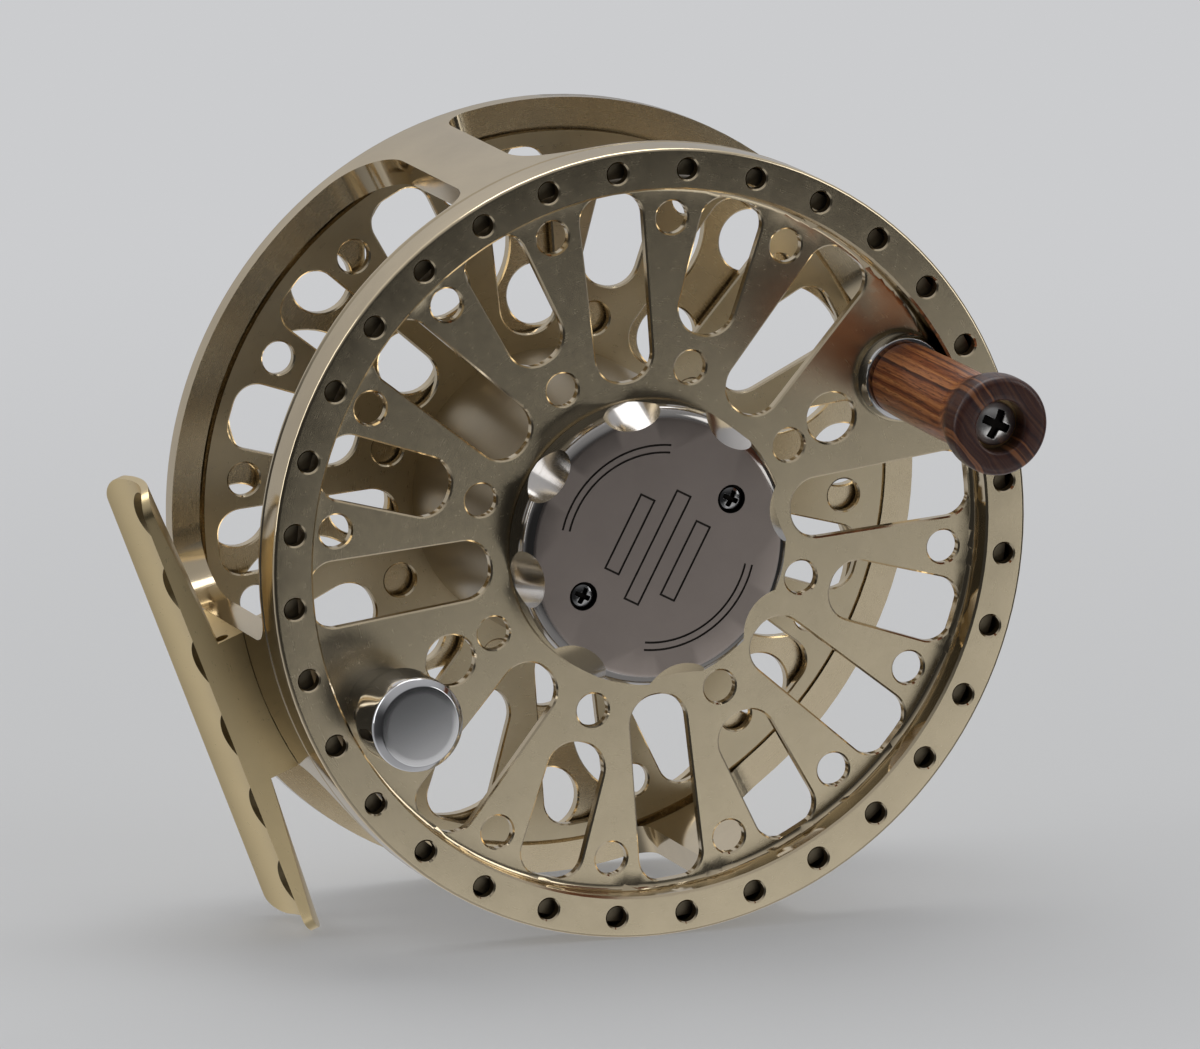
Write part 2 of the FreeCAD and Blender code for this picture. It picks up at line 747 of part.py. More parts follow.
def make_drag_housing():
    """Return the drag housing: a cup with the shaft bearing in its front and keyways inside."""
    bore = disc_outer + thin
    housing = turned([
        (shaft_bearing_bore + seal_section, housing_start),
        (housing_radius - housing_bevel, housing_start),
        (housing_radius, housing_start + housing_bevel),
        (housing_radius, plate_front),
        (bore, plate_front),
        (bore, shoulder_start + housing_shoulder),
        (shaft_bearing_radius - bearing_shoulder, shoulder_start + housing_shoulder),
        (shaft_bearing_radius - bearing_shoulder, shoulder_start),
        (shaft_bearing_radius + seat, shoulder_start),
        (shaft_bearing_radius + seat, shaft_bearing_start),
        (shaft_bearing_bore + seal_section, shaft_bearing_start),
    ])
    post = rod(housing_post_radius, pressure_start + pressure_thickness + housing_post_gap, plate_front,
               housing_screw_circle, 0)
    posts = around(post, housing_screw_count, housing_screw_first_deg)
    limit = rod(housing_radius, housing_start, plate_front)
    housing = fused([housing] + [p.common(limit) for p in posts])
    for key in key_slots(disc_outer, shoulder_start + housing_shoulder, plate_front - keyway_end_gap, thin):
        housing = housing.cut(key)
    for cutter in housing_screw_shapes(seat):
        housing = housing.cut(cutter)
    pin_x, pin_z = hole_places(pawl_radius, pawl_deg)
    housing = housing.cut(rod(pawl_pin_radius, housing_start - past, housing_start + pawl_pin_depth + thin,
                              pin_x, pin_z))
    groove_end = plate_front - seal_groove_gap
    groove = ring(housing_radius + past, housing_radius - seal_groove_depth, groove_end - seal_groove_width,
                  groove_end)
    return housing.cut(groove)


def hexagon(across, y0, y1):
    """Return a hexagonal prism along the axis."""
    corner = across / math.sqrt(3)
    return polygon_prism([hole_places(corner, 60 * i) for i in range(6)], y0, y1)


def make_drag_shaft():
    """Return the drag shaft: cap thread, bearing seats, clutch sleeve, hexagon and tail."""
    front = face_front + play
    body = turned([
        (0, front - thread_length),
        (thread_radius - thread_bevel, front - thread_length),
        (thread_radius, front - thread_length + thread_bevel),
        (thread_radius, front),
        (shaft_radius, front),
        (shaft_radius, clutch_start - play),
        (clutch_shaft_radius, clutch_start - play),
        (clutch_shaft_radius, housing_start - play),
        (shaft_bearing_bore, housing_start - play),
        (shaft_bearing_bore, shoulder_start),
        (hex_across / 2 - hex_core_depth, shoulder_start),
        (hex_across / 2 - hex_core_depth, tail_start),
        (tail_radius, tail_start),
        (tail_radius, piston_start + piston_flange + tail_reach),
        (0, piston_start + piston_flange + tail_reach),
    ])
    drive = hexagon(hex_across, shoulder_start - overlap, tail_start)
    return fused([body, drive])


def make_carbon_discs():
    """Return the carbon discs, keyed to the housing by three tabs each."""
    discs = []
    pitch = carbon_thickness + steel_thickness + 2 * thin
    for i in range(steel_disc_count + 1):
        y = disc_start + i * pitch
        disc = ring(disc_outer, disc_inner, y, y + carbon_thickness)
        tabs = key_slots(disc_outer - key_gap, y, y + carbon_thickness, 0.0)
        discs.append(fused([disc] + tabs))
    return Part.makeCompound(discs)


def make_steel_discs():
    """Return the steel discs, driven by the shaft's hexagon."""
    discs = []
    pitch = carbon_thickness + steel_thickness + 2 * thin
    for i in range(steel_disc_count):
        y = disc_start + carbon_thickness + thin + i * pitch
        disc = rod(disc_outer - 2 * key_gap, y, y + steel_thickness)
        discs.append(disc.cut(hexagon(hex_across + thin, y - past, y + steel_thickness + past)))
    return Part.makeCompound(discs)


def make_pressure_plate():
    """Return the pressure plate, keyed to the housing like the carbon discs."""
    end = pressure_start + pressure_thickness
    plate = ring(disc_outer, disc_inner, pressure_start, end)
    return fused([plate] + key_slots(disc_outer - key_gap, pressure_start, end, 0.0))


def make_drag_springs():
    """Return two disc springs back to back, each a shallow cone with a bore."""
    inner = hex_across / math.sqrt(3) + spring_gap
    outer = piston_flat + 3 * spring_gap
    middle = spring_start + spring_height / 2
    first = turned([(inner, middle - spring_sheet - spring_cone), (outer, middle - spring_sheet),
                    (outer, middle), (inner, middle - spring_cone)])
    start = middle + running
    second = turned([(inner, start + spring_cone), (outer, start), (outer, start + spring_sheet),
                     (inner, start + spring_cone + spring_sheet)])
    return Part.makeCompound([first, second])


def make_drag_piston():
    """Return the piston that the knob screws forwards: keyed flange, threaded stem and tail bore."""
    flange_end = piston_start + piston_flange
    stem_end = flange_end + piston_stem_length
    flange = piston_shape(piston_radius, piston_flat, piston_start, flange_end)
    stem = rod(piston_stem_radius - running, flange_end - overlap, stem_end)
    bore = rod(tail_radius + running, piston_start - past, flange_end + tail_reach + piston_bore_room)
    return fused([flange, stem]).cut(bore)


def make_drag_knob():
    """Return the drag knob: a scalloped cap over the frame's boss, threaded on the piston."""
    start = plate_back + knob_gap
    end = start + knob_height
    thread_end = piston_start + piston_flange + piston_stem_length + knob_thread_gap
    rounded = mid_round * knob_edge_round
    knob = turned([
        (boss_radius + play, start),
        (knob_radius - knob_front_bevel, start),
        (knob_radius, start + knob_front_bevel),
        (knob_radius, end - knob_edge_round),
        (knob_radius - rounded, end - rounded, knob_radius - knob_edge_round, end),
        (knob_dish_radius, end),
        (knob_dish_radius - knob_dish_depth, end - knob_dish_depth),
        (0, end - knob_dish_depth),
        (0, thread_end),
        (piston_stem_radius, thread_end),
        (piston_stem_radius, boss_back + play),
        (boss_radius + play, boss_back + play),
    ])
    cutter = rod(knob_scallop_radius, start - past, end + past,
                 knob_radius + knob_scallop_radius - knob_scallop_depth, 0)
    knob = knob.cut(Part.makeCompound(around(cutter, knob_scallops, 0)))
    dimple = rod(detent_radius + dimple_gap, boss_back + play - dimple_depth, boss_back + play + dimple_depth,
                 detent_place, 0)
    knob = knob.cut(Part.makeCompound(around(dimple, knob_clicks, 0)))
    clip_groove = ring(boss_radius + play + clip_reach, boss_radius, plate_back + clip_start,
                       plate_back + clip_start + clip_width)
    return knob.cut(clip_groove)


def make_knob_clip():
    """Return the split ring that holds the knob on the boss."""
    start = plate_back + clip_start + thin
    clip = ring(boss_radius + play + clip_reach - thin, boss_radius - clip_sink + thin, start,
                start + clip_width - 2 * thin)
    corner = vec(boss_radius - 2 * past, start - thin, -clip_split / 2)
    gap = Part.makeBox(4 * past, 2 * past, clip_split, corner)
    return clip.cut(at_angle(gap, 90))


def make_spool_cap():
    """Return the scalloped cap over the spool hub, hollow behind for its threaded insert."""
    back = face_front - cap_clear
    front = back - cap_height
    cap = turned([
        (0, front),
        (cap_radius - cap_bevel, front),
        (cap_radius - mid_round * cap_bevel, front + mid_round * cap_bevel_height,
         cap_radius, front + cap_bevel_height),
        (cap_radius, back - cap_edge_break),
        (cap_radius - cap_edge_break, back),
        (insert_flange_radius + overlap, back),
        (insert_flange_radius + overlap, back - insert_depth - thin),
        (insert_radius + seat, back - insert_depth - thin),
        (insert_radius + seat, front + cap_face_wall),
        (0, front + cap_face_wall),
    ])
    cutter = rod(cap_scallop_radius, front - cap_height, back + cap_height,
                 cap_radius + cap_scallop_radius - cap_scallop_depth, 0)
    cutter.rotate(vec(cap_radius, front, 0), vec(0, 0, 1), -cap_scallop_tilt)
    cap = cap.cut(Part.makeCompound(around(cutter, cap_scallops, cap_first_deg)))
    for i in range(2):
        x, z = hole_places(cap_screw_circle, cap_screw_deg + 180 * i)
        cap = cap.cut(rod(cap_screw_radius + seat, front - past, front + cap_screw_depth, x, z))
        cap = cap.cut(rod(cap_screw_shank + seat, front, back + past, x, z))
    return cap.cut(Part.makeCompound(engraving(front)))


def engraving(front):
    """Return the cutters of the cap's fine lines: two pairs of arcs round three outlined bars."""
    cutters = []
    half = engraving_width / 2
    for radius in engraving_arc_radii:
        corners = [vec(radius - half, front - past, 0), vec(radius + half, front - past, 0),
                   vec(radius + half, front + engraving_depth, 0),
                   vec(radius - half, front + engraving_depth, 0)]
        face = Part.Face(Part.makePolygon(corners + corners[:1]))
        arc = face.revolve(vec(0, 0, 0), Y, -engraving_arc_deg)
        cutters += around(arc, 2, engraving_arc_first_deg)
    lengths = (engraving_bar_length, engraving_middle_length, engraving_bar_length)
    for place, length in zip((-1, 0, 1), lengths):
        bar = block(length, engraving_bar_width, front, place * engraving_bar_pitch)
        inside = block(length - 2 * engraving_width, engraving_bar_width - 2 * engraving_width, front,
                       place * engraving_bar_pitch)
        cutters.append(at_angle(bar.cut(inside), engraving_deg))
    return cutters


def block(length, width, front, aside):
    """Return a block as deep as the engraving, along X and centred at z = aside."""
    corner = vec(-length / 2, front - past, aside - width / 2)
    return Part.makeBox(length, past + engraving_depth, width, corner)


def cross_recess(y, x, z, size):
    """Return the cutter of a cross recess in a screw head whose front face is at y."""
    depth = cross_depth_share * size
    half = cross_arm_share * size
    arm = Part.makeBox(2 * size, depth, 2 * half, vec(-size, y, -half))
    cross = arm.fuse(at_angle(arm, 90))
    cone = Part.makeCone(cross_core_share * size, half, depth + overlap, vec(0, y, 0), Y)
    cross = cross.common(Part.makeCone(size, cross_end_share * size, depth, vec(0, y, 0), Y)).fuse(cone)
    cross.translate(vec(x, 0, z))
    return cross


def make_cap_screws():
    """Return the two cross-head screws of the cap."""
    front = face_front - cap_clear - cap_height
    screws = []
    for i in range(2):
        x, z = hole_places(cap_screw_circle, cap_screw_deg + 180 * i)
        screw = rod(cap_screw_radius, front + cap_screw_sink, front + cap_screw_depth, x, z)
        shank = rod(cap_screw_shank, front + cap_screw_depth - thin, face_front - cap_clear - overlap, x, z)
        screws.append(screw.fuse(shank).cut(cross_recess(front + cap_screw_sink, x, z, cap_cross)))
    return Part.makeCompound(screws)


def make_cap_insert():
    """Return the threaded insert that carries the cap on the shaft, with a flange for its screws."""
    back = face_front - cap_clear
    front = back - cap_height
    end = back - cap_washer_thickness - 2 * play
    insert = turned([
        (thread_radius + running, front + cap_face_wall + thin),
        (insert_radius, front + cap_face_wall + thin),
        (insert_radius, back - insert_depth),
        (insert_flange_radius, back - insert_depth),
        (insert_flange_radius, end),
        (thread_radius + running, end),
    ])
    for i in range(2):
        x, z = hole_places(cap_screw_circle, cap_screw_deg + 180 * i)
        insert = insert.cut(rod(cap_screw_shank + seat, front, back, x, z))
    return insert


def make_cap_washer():
    """Return the thrust washer between the cap's insert and the shaft's bearing."""
    start = face_front - cap_clear - cap_washer_thickness - play
    return ring(thread_radius + cap_washer_width, thread_radius + running, start,
                start + cap_washer_thickness)


def make_clutch():
    """Return the drawn cup of the one-way clutch, with a lip at each end."""
    end = clutch_start + clutch_length
    cup = turned([
        (clutch_shaft_radius + clutch_mouth_gap, clutch_start),
        (clutch_radius, clutch_start),
        (clutch_radius, end),
        (clutch_shaft_radius + clutch_mouth_gap, end),
        (clutch_shaft_radius + clutch_mouth_gap, end - clutch_lip),
        (clutch_radius - clutch_wall, end - clutch_lip),
        (clutch_radius - clutch_wall, clutch_start + clutch_lip),
        (clutch_shaft_radius + clutch_mouth_gap, clutch_start + clutch_lip),
    ])
    return cup


def make_clutch_rollers():
    """Return the rollers of the one-way clutch."""
    room = clutch_radius - clutch_wall - clutch_shaft_radius
    radius = room / 2 - running
    one = rod(radius, clutch_start + clutch_lip + thin, clutch_start + clutch_length - clutch_lip - thin,
              clutch_shaft_radius + room / 2, 0)
    return Part.makeCompound(around(one, clutch_rollers, 0))


def click_places():
    """Return the outline of the click gear as (x, z) corners, tips and valleys in turn."""
    corners = []
    for i in range(click_teeth):
        step = 360.0 / click_teeth
        corners.append(hole_places(click_gear_radius, pawl_deg + (i + 0.5) * step))
        corners.append(hole_places(click_gear_radius - click_tooth_depth, pawl_deg + (i + 1) * step))
    return corners


def make_click_gear():
    """Return the click gear, a toothed ring on the end of the spool hub."""
    end = click_gear_start + click_gear_width
    gear = polygon_prism(click_places(), click_gear_start, end)
    return gear.cut(rod(clutch_radius + seat + hub_wall + seat, click_gear_start - past, end + past))


def make_click_pawl():
    """Return the pawl whose nose lies in a valley of the click gear."""
    start = click_gear_start + thin
    end = click_gear_start + click_gear_width - thin
    tip = click_gear_radius - pawl_mesh
    nose = polygon_prism([(tip, 0), (pawl_radius, -pawl_half_width), (pawl_radius, pawl_half_width)],
                         start, end)
    eye = rod(pawl_pin_radius + pawl_eye_wall, start, end, pawl_radius, 0)
    pawl = nose.fuse(eye).cut(rod(pawl_pin_radius + running, start - past, end + past, pawl_radius, 0))
    return at_angle(pawl.removeSplitter(), pawl_deg)


def make_pawl_pin():
    """Return the pin that the click pawl rocks on."""
    x, z = hole_places(pawl_radius, pawl_deg)
    pin = rod(pawl_pin_radius, click_gear_start - play, housing_start + pawl_pin_depth, x, z)
    head_end = click_gear_start - overlap
    return pin.fuse(rod(pawl_pin_radius + pawl_pin_head, head_end - pawl_pin_head, head_end, x, z))


def make_pawl_spring():
    """Return the wire spring that keeps the pawl upright, anchored in the housing beside it."""
    x, z = hole_places(pawl_radius, pawl_deg + pawl_spring_turn)
    post = rod(pawl_spring_post, click_gear_start + click_gap, housing_start - seat, x, z)
    level = click_gear_start + 2 * click_gap
    start = vec(pawl_radius + pawl_mesh + pawl_spring_wire, level,
                pawl_pin_radius + pawl_eye_wall + pawl_spring_wire - seat)
    post_x, post_z = hole_places(pawl_radius, pawl_spring_turn)
    end = vec(post_x, level, post_z)
    wire = Part.makeCylinder(pawl_spring_wire, (end - start).Length, start, end - start)
    return post.fuse(at_angle(wire, pawl_deg))


def make_grip():
    """Return the turned wooden grip: a slim body that flares to a rounded knob, with its bore."""
    base = face_front - collar_height - play
    tip = base - grip_length
    grip = turned([
        (grip_bore_radius, base),
        (grip_base_radius - grip_break, base),
        (grip_base_radius, base - grip_break),
        (grip_waist_radius, tip + grip_flare),
        (grip_waist_radius + grip_break, tip + grip_flare / 2 + grip_break,
         grip_tip_radius, tip + grip_tip_round),
        (grip_tip_radius - mid_round * grip_tip_round, tip + mid_round * grip_tip_round,
         grip_tip_radius - grip_tip_round, tip),
        (grip_bore_radius + grip_mouth_round, tip),
        (grip_bore_radius + mid_round * grip_mouth_round, tip + mid_round * grip_mouth_round,
         grip_bore_radius, tip + grip_mouth_round),
    ])
    return moved_to_handle(grip)


def moved_to_handle(shape):
    """Return the shape moved from the spool axis to the handle's own axis."""
    x, z = hole_places(handle_circle, handle_deg)
    copy = shape.copy()
    copy.translate(vec(x, 0, z))
    return copy


def handle_stations():
    """Return the grip's base and tip, and the front end of the post."""
    base = face_front - collar_height - play
    tip = base - grip_length
    return base, tip, tip + handle_screw_recess + screw_head_height


def make_handle_post():
    """Return the handle post: collar against the face, shank through the grip, threaded spigot."""
    post_end = handle_stations()[2]
    post = turned([
        (0, post_end),
        (post_radius, post_end),
        (post_radius, face_front - collar_height),
        (collar_top_radius, face_front - collar_height),
        (collar_top_radius + collar_break, face_front - collar_height + collar_break),
        (collar_radius - running, face_front - collar_height / 2, collar_radius,
         face_front - collar_height / 3),
        (collar_foot_radius, face_front),
        (post_spigot_radius, face_front),
        (post_spigot_radius, face_back),
        (0, face_back),
    ])
    post = post.cut(rod(handle_screw_shank + seat, post_end - past, post_end + handle_screw_length + overlap))
    tapped = rod(rear_screw_shank + seat, face_back - rear_screw_length - overlap, face_back + past)
    return moved_to_handle(post.cut(tapped))


def make_handle_bushes():
    """Return the two bushes pressed in the grip's ends."""
    base, tip, post_end = handle_stations()
    bushes = [ring(grip_bore_radius - seat, post_radius + running, base - bush_length, base - overlap),
              ring(grip_bore_radius - seat, post_radius + running, post_end + overlap,
                   post_end + bush_length)]
    return Part.makeCompound([moved_to_handle(b) for b in bushes])


def make_handle_screw():
    """Return the cross-head screw in the grip's tip."""
    post_end = handle_stations()[2]
    head = rod(handle_screw_head, post_end - screw_head_height, post_end)
    screw = head.fuse(rod(handle_screw_shank, post_end - thin, post_end + handle_screw_length))
    screw = screw.cut(cross_recess(post_end - screw_head_height, 0, 0, handle_cross))
    return moved_to_handle(screw)


def rear_screw():
    """Return a low-headed screw on the axis whose head is behind the spool's face."""
    screw = rod(rear_screw_head, face_back, face_back + rear_screw_height)
    screw = screw.fuse(rod(rear_screw_shank, face_back - rear_screw_length, face_back + thin))
    return screw.cut(cross_recess(0, 0, 0, rear_cross).mirror(vec(0, 0, 0), Y).translated(
        vec(0, face_back + rear_screw_height, 0)))


def make_post_screw():
    """Return the screw that holds the handle post from behind."""
    return moved_to_handle(rear_screw())


def make_weight():
    """Return the counterweight: a bevelled head on a slimmer neck."""
    top = face_front - weight_height
    neck = face_front - weight_neck_height
    weight = turned([
        (0, top),
        (weight_radius - weight_bevel, top),
        (weight_radius, top + weight_bevel),
        (weight_radius, neck - weight_break),
        (weight_radius - weight_break, neck),
        (weight_neck_radius, neck),
        (weight_neck_radius, face_front),
        (post_spigot_radius, face_front),
        (post_spigot_radius, face_back),
        (0, face_back),
    ])
    tapped = rod(rear_screw_shank + seat, face_back - rear_screw_length - overlap, face_back + past)
    weight = weight.cut(tapped)
    x, z = hole_places(weight_circle, handle_deg + 180)
    return weight.translated(vec(x, 0, z))


def make_weight_screw():
    """Return the screw that holds the counterweight from behind."""
    x, z = hole_places(weight_circle, handle_deg + 180)
    return rear_screw().translated(vec(x, 0, z))


def make_detent():
    """Return the ball that the knob clicks over, and the spring sleeve behind it."""
    ball_radius = detent_radius - seat
    middle = boss_back + play - seat - ball_radius
    ball = Part.makeSphere(ball_radius, vec(detent_place, middle, 0))
    spring = ring(detent_radius - thin, detent_radius - thin - detent_wire, boss_back - detent_depth + seat,
                  middle - ball_radius - seat, detent_place, 0)
    return ball, spring


def save(name, shape):
    """Write one sub-part to its own file."""
    bad = not shape.isValid() or shape.Volume <= 0 or len(shape.Solids) == 0
    print(f"{name}: {len(shape.Solids)} solid(s), {shape.Volume:.1f} mm3{' INVALID' if bad else ''}")
    solids = shape.Solids
    kept = solids[0] if len(solids) == 1 else Part.makeCompound(solids)
    kept.exportStep(f"parts/{name}.step")


def main():
    """Build every sub-part and write it."""
    os.makedirs("parts", exist_ok=True)
    front_race, front_inner, front_balls = ball_bearing(shaft_radius, front_bearing_radius,
                                                        front_bearing_start, front_bearing_width, 9)
    rear_race, rear_inner, rear_balls = ball_bearing(shaft_bearing_bore, shaft_bearing_radius,
                                                     shaft_bearing_start, shaft_bearing_width, 13)
    detent_ball, detent_spring = make_detent()
    seal = ring(shaft_bearing_bore + seal_section - seat, shaft_bearing_bore + running, housing_start + thin,
                shaft_bearing_start - thin)
    seal_middle = plate_front - seal_groove_gap - seal_groove_width / 2
    seal_circle = housing_radius - seal_groove_depth + housing_seal_radius + running
    housing_seal = Part.makeTorus(seal_circle, housing_seal_radius, vec(0, seal_middle, 0), Y)
    pieces = {
        "frame": make_frame(),
        "reel_foot": make_foot(),
        "foot_screws": make_foot_screws(),
        "drag_housing": make_drag_housing(),
        "housing_screws": make_housing_screws(),
        "housing_seal": housing_seal,
        "shaft_seal": seal,
        "shaft_bearing_outer": rear_race,
        "shaft_bearing_inner": rear_inner,
        "shaft_bearing_balls": rear_balls,
        "drag_shaft": make_drag_shaft(),
        "carbon_discs": make_carbon_discs(),
        "steel_discs": make_steel_discs(),
        "pressure_plate": make_pressure_plate(),
        "drag_springs": make_drag_springs(),
        "drag_piston": make_drag_piston(),
        "drag_knob": make_drag_knob(),
        "knob_clip": make_knob_clip(),
        "detent_ball": detent_ball,
        "detent_spring": detent_spring,
        "spool": make_spool(),
        "front_bearing_outer": front_race,
        "front_bearing_inner": front_inner,
        "front_bearing_balls": front_balls,
        "clutch_cup": make_clutch(),
        "clutch_rollers": make_clutch_rollers(),
        "click_gear": make_click_gear(),
        "click_pawl": make_click_pawl(),
        "pawl_pin": make_pawl_pin(),
        "pawl_spring": make_pawl_spring(),
        "handle_post": make_handle_post(),
        "post_screw": make_post_screw(),
        "handle_bushes": make_handle_bushes(),
        "handle_grip": make_grip(),
        "handle_screw": make_handle_screw(),
        "counterweight": make_weight(),
        "counterweight_screw": make_weight_screw(),
        "spool_cap": make_spool_cap(),
        "cap_insert": make_cap_insert(),
        "cap_screws": make_cap_screws(),
        "cap_washer": make_cap_washer(),
    }
    for name, shape in pieces.items():
        save(name, shape)


main()
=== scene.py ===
"""Visual model of a fly reel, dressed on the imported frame.

The frame gives every place and size. The ported castings are smoothed copies of their frame
nodes, the turned pieces are revolved from profiles, and every finish is procedural.
"""
import logging
import math
from dataclasses import dataclass, field
from enum import Enum
from typing import Any, Mapping, Optional, Sequence, Tuple, Union

import bmesh
import bpy
import numpy as np
from mathutils import Matrix, Vector


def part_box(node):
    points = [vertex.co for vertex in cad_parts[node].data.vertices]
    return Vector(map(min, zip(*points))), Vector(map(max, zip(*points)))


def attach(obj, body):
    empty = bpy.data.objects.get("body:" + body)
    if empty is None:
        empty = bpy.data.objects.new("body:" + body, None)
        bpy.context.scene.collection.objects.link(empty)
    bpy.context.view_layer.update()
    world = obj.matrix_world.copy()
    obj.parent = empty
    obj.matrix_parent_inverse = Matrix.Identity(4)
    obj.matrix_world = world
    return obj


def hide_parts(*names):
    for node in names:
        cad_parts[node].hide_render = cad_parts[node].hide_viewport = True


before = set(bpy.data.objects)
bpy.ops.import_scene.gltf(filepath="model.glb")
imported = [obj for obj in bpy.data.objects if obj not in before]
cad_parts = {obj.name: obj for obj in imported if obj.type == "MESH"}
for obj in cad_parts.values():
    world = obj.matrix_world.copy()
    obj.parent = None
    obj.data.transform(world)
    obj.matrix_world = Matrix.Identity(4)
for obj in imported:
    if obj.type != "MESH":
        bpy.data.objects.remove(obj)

log = logging.getLogger("fly_reel")

MM = 0.001
MERGE = 1e-7  # points of a mesh nearer than this, in metres, become one
CORNER = math.radians(30.0)  # an edge that turns more than this stays sharp
Colour = Tuple[float, float, float]


# ---------------------------------------------------------------- shader expressions


class Socket:
    """One output of a shader node, which Python's operators work on."""

    def __init__(self, shader: "Shader", link: bpy.types.NodeSocket) -> None:
        """Keep the shader and its output."""
        self.shader = shader
        self.link = link

    def __add__(self, other: "Value") -> "Socket":
        """Sum."""
        return self.shader.math("ADD", self, other)

    __radd__ = __add__

    def __sub__(self, other: "Value") -> "Socket":
        """Difference."""
        return self.shader.math("SUBTRACT", self, other)

    def __rsub__(self, other: "Value") -> "Socket":
        """Difference with the number first."""
        return self.shader.math("SUBTRACT", other, self)

    def __mul__(self, other: "Value") -> "Socket":
        """Product."""
        return self.shader.math("MULTIPLY", self, other)

    __rmul__ = __mul__


Value = Union[Socket, float]


class Shader:
    """A node tree written as Python expressions."""

    def __init__(self, tree: bpy.types.NodeTree) -> None:
        """Clear the tree.

        Args:
            tree: The node tree of a material or of the world.
        """
        self.tree = tree
        self.tree.nodes.clear()

    def node(self, kind: str, settings: Optional[Mapping[str, Any]] = None,
             sockets: Optional[Mapping[Any, Any]] = None, output: Union[int, str] = 0) -> Socket:
        """Add a node.

        Args:
            kind: The node's type.
            settings: Its settings, which are set first; "stops" is a ramp's (place, colour) list.
            sockets: Its inputs, as plain values or as Sockets.
            output: The output to return.

        Returns:
            The chosen output.
        """
        made = self.tree.nodes.new(kind)
        for key, value in (settings or {}).items():
            if key == "stops":
                elements = made.color_ramp.elements
                while len(elements) < len(value):
                    elements.new(1.0)
                for element, (place, colour) in zip(elements, value):
                    element.position = place
                    element.color = (*colour, 1.0)
            else:
                setattr(made, key, value)
        for key, value in (sockets or {}).items():
            if isinstance(value, Socket):
                self.tree.links.new(value.link, made.inputs[key])
            else:
                made.inputs[key].default_value = value
        return Socket(self, made.outputs[output] if len(made.outputs) else None)

    def math(self, operation: str, a: Value, b: Value = 0.0) -> Socket:
        """Return a Math node of one or two values."""
        return self.node("ShaderNodeMath", {"operation": operation}, {0: a, 1: b})

    def vector(self, operation: str, a: Any, b: Any = (0.0, 0.0, 0.0), output: int = 0) -> Socket:
        """Return a Vector Math node of two vectors."""
        return self.node("ShaderNodeVectorMath", {"operation": operation}, {0: a, 1: b}, output)

    def mix(self, factor: Value, a: Any, b: Any) -> Socket:
        """Return a mix of two colours.

        Args:
            factor: 0 for the first colour, 1 for the second.
            a: First colour.
            b: Second colour.

        Returns:
            The mixed colour.
        """
        a, b = (x if isinstance(x, Socket) else (*x, 1.0) for x in (a, b))
        return self.node("ShaderNodeMix", {"data_type": "RGBA"}, {0: factor, 6: a, 7: b}, 2)

    def blend(self, factor: Value, a: Value, b: Value) -> Socket:
        """Return a mix of two numbers."""
        return self.node("ShaderNodeMix", {"data_type": "FLOAT"}, {0: factor, 2: a, 3: b}, 0)

    def step(self, value: Value, low: float, high: float) -> Socket:
        """Return a smooth step from 0 at low to 1 at high."""
        return self.node("ShaderNodeMapRange", {"interpolation_type": "SMOOTHSTEP"},
                         {0: value, 1: low, 2: high, 3: 0.0, 4: 1.0})

    def noise(self, place: Any, scale: float, detail: float = 2.0, rough: float = 0.5) -> Socket:
        """Return smooth noise about one half at a place."""
        return self.node("ShaderNodeTexNoise", {}, {"Vector": place, "Scale": scale, "Detail": detail,
                                                    "Roughness": rough})

    def noise_along(self, distance: Value, scale: float, detail: float = 2.0) -> Socket:
        """Return noise that changes only with a distance, as lathe rings and wood layers do."""
        return self.node("ShaderNodeTexNoise", {"noise_dimensions": "1D"},
                         {"W": distance, "Scale": scale, "Detail": detail, "Roughness": 0.6})

    def place_mm(self, centre: Sequence[float] = (0.0, 0.0, 0.0)) -> Socket:
        """Return the piece's own coordinates in millimetres from a centre given in metres."""
        here = self.node("ShaderNodeTexCoord", output="Object")
        away = self.vector("SUBTRACT", here, tuple(centre))
        return self.vector("MULTIPLY", away, (1 / MM, 1 / MM, 1 / MM))

    def parts(self, place: Socket) -> Tuple[Socket, Socket, Socket]:
        """Return a vector's x, y and z."""
        split = self.node("ShaderNodeSeparateXYZ", {}, {0: place})
        outputs = split.link.node.outputs
        return Socket(self, outputs[0]), Socket(self, outputs[1]), Socket(self, outputs[2])

    def mark(self, name: str) -> Socket:
        """Return the piece's own attribute of that name as a number."""
        return self.node("ShaderNodeAttribute", {"attribute_name": name}, output="Fac")

    def bump(self, height_mm: Value, strength: float = 1.0) -> Socket:
        """Return the normal of a surface raised by a height in millimetres."""
        return self.node("ShaderNodeBump", {}, {"Height": height_mm, "Distance": MM, "Strength": strength})


# ---------------------------------------------------------------- finishes


@dataclass(frozen=True)
class Finish:
    """A finish with a name; each kind says how it dresses a shader."""

    name: str

    def surface(self, shader: Shader) -> Mapping[str, Any]:
        """Return the values of the main shader's sockets."""
        raise NotImplementedError

    def material(self) -> bpy.types.Material:
        """Return the finish's material, made once."""
        made = bpy.data.materials.get(self.name)
        if made is None:
            made = bpy.data.materials.new(self.name)
            made.use_nodes = True
            shader = Shader(made.node_tree)
            skin = shader.node("ShaderNodeBsdfPrincipled", {}, self.surface(shader))
            shader.node("ShaderNodeOutputMaterial", {}, {"Surface": skin})
        return made


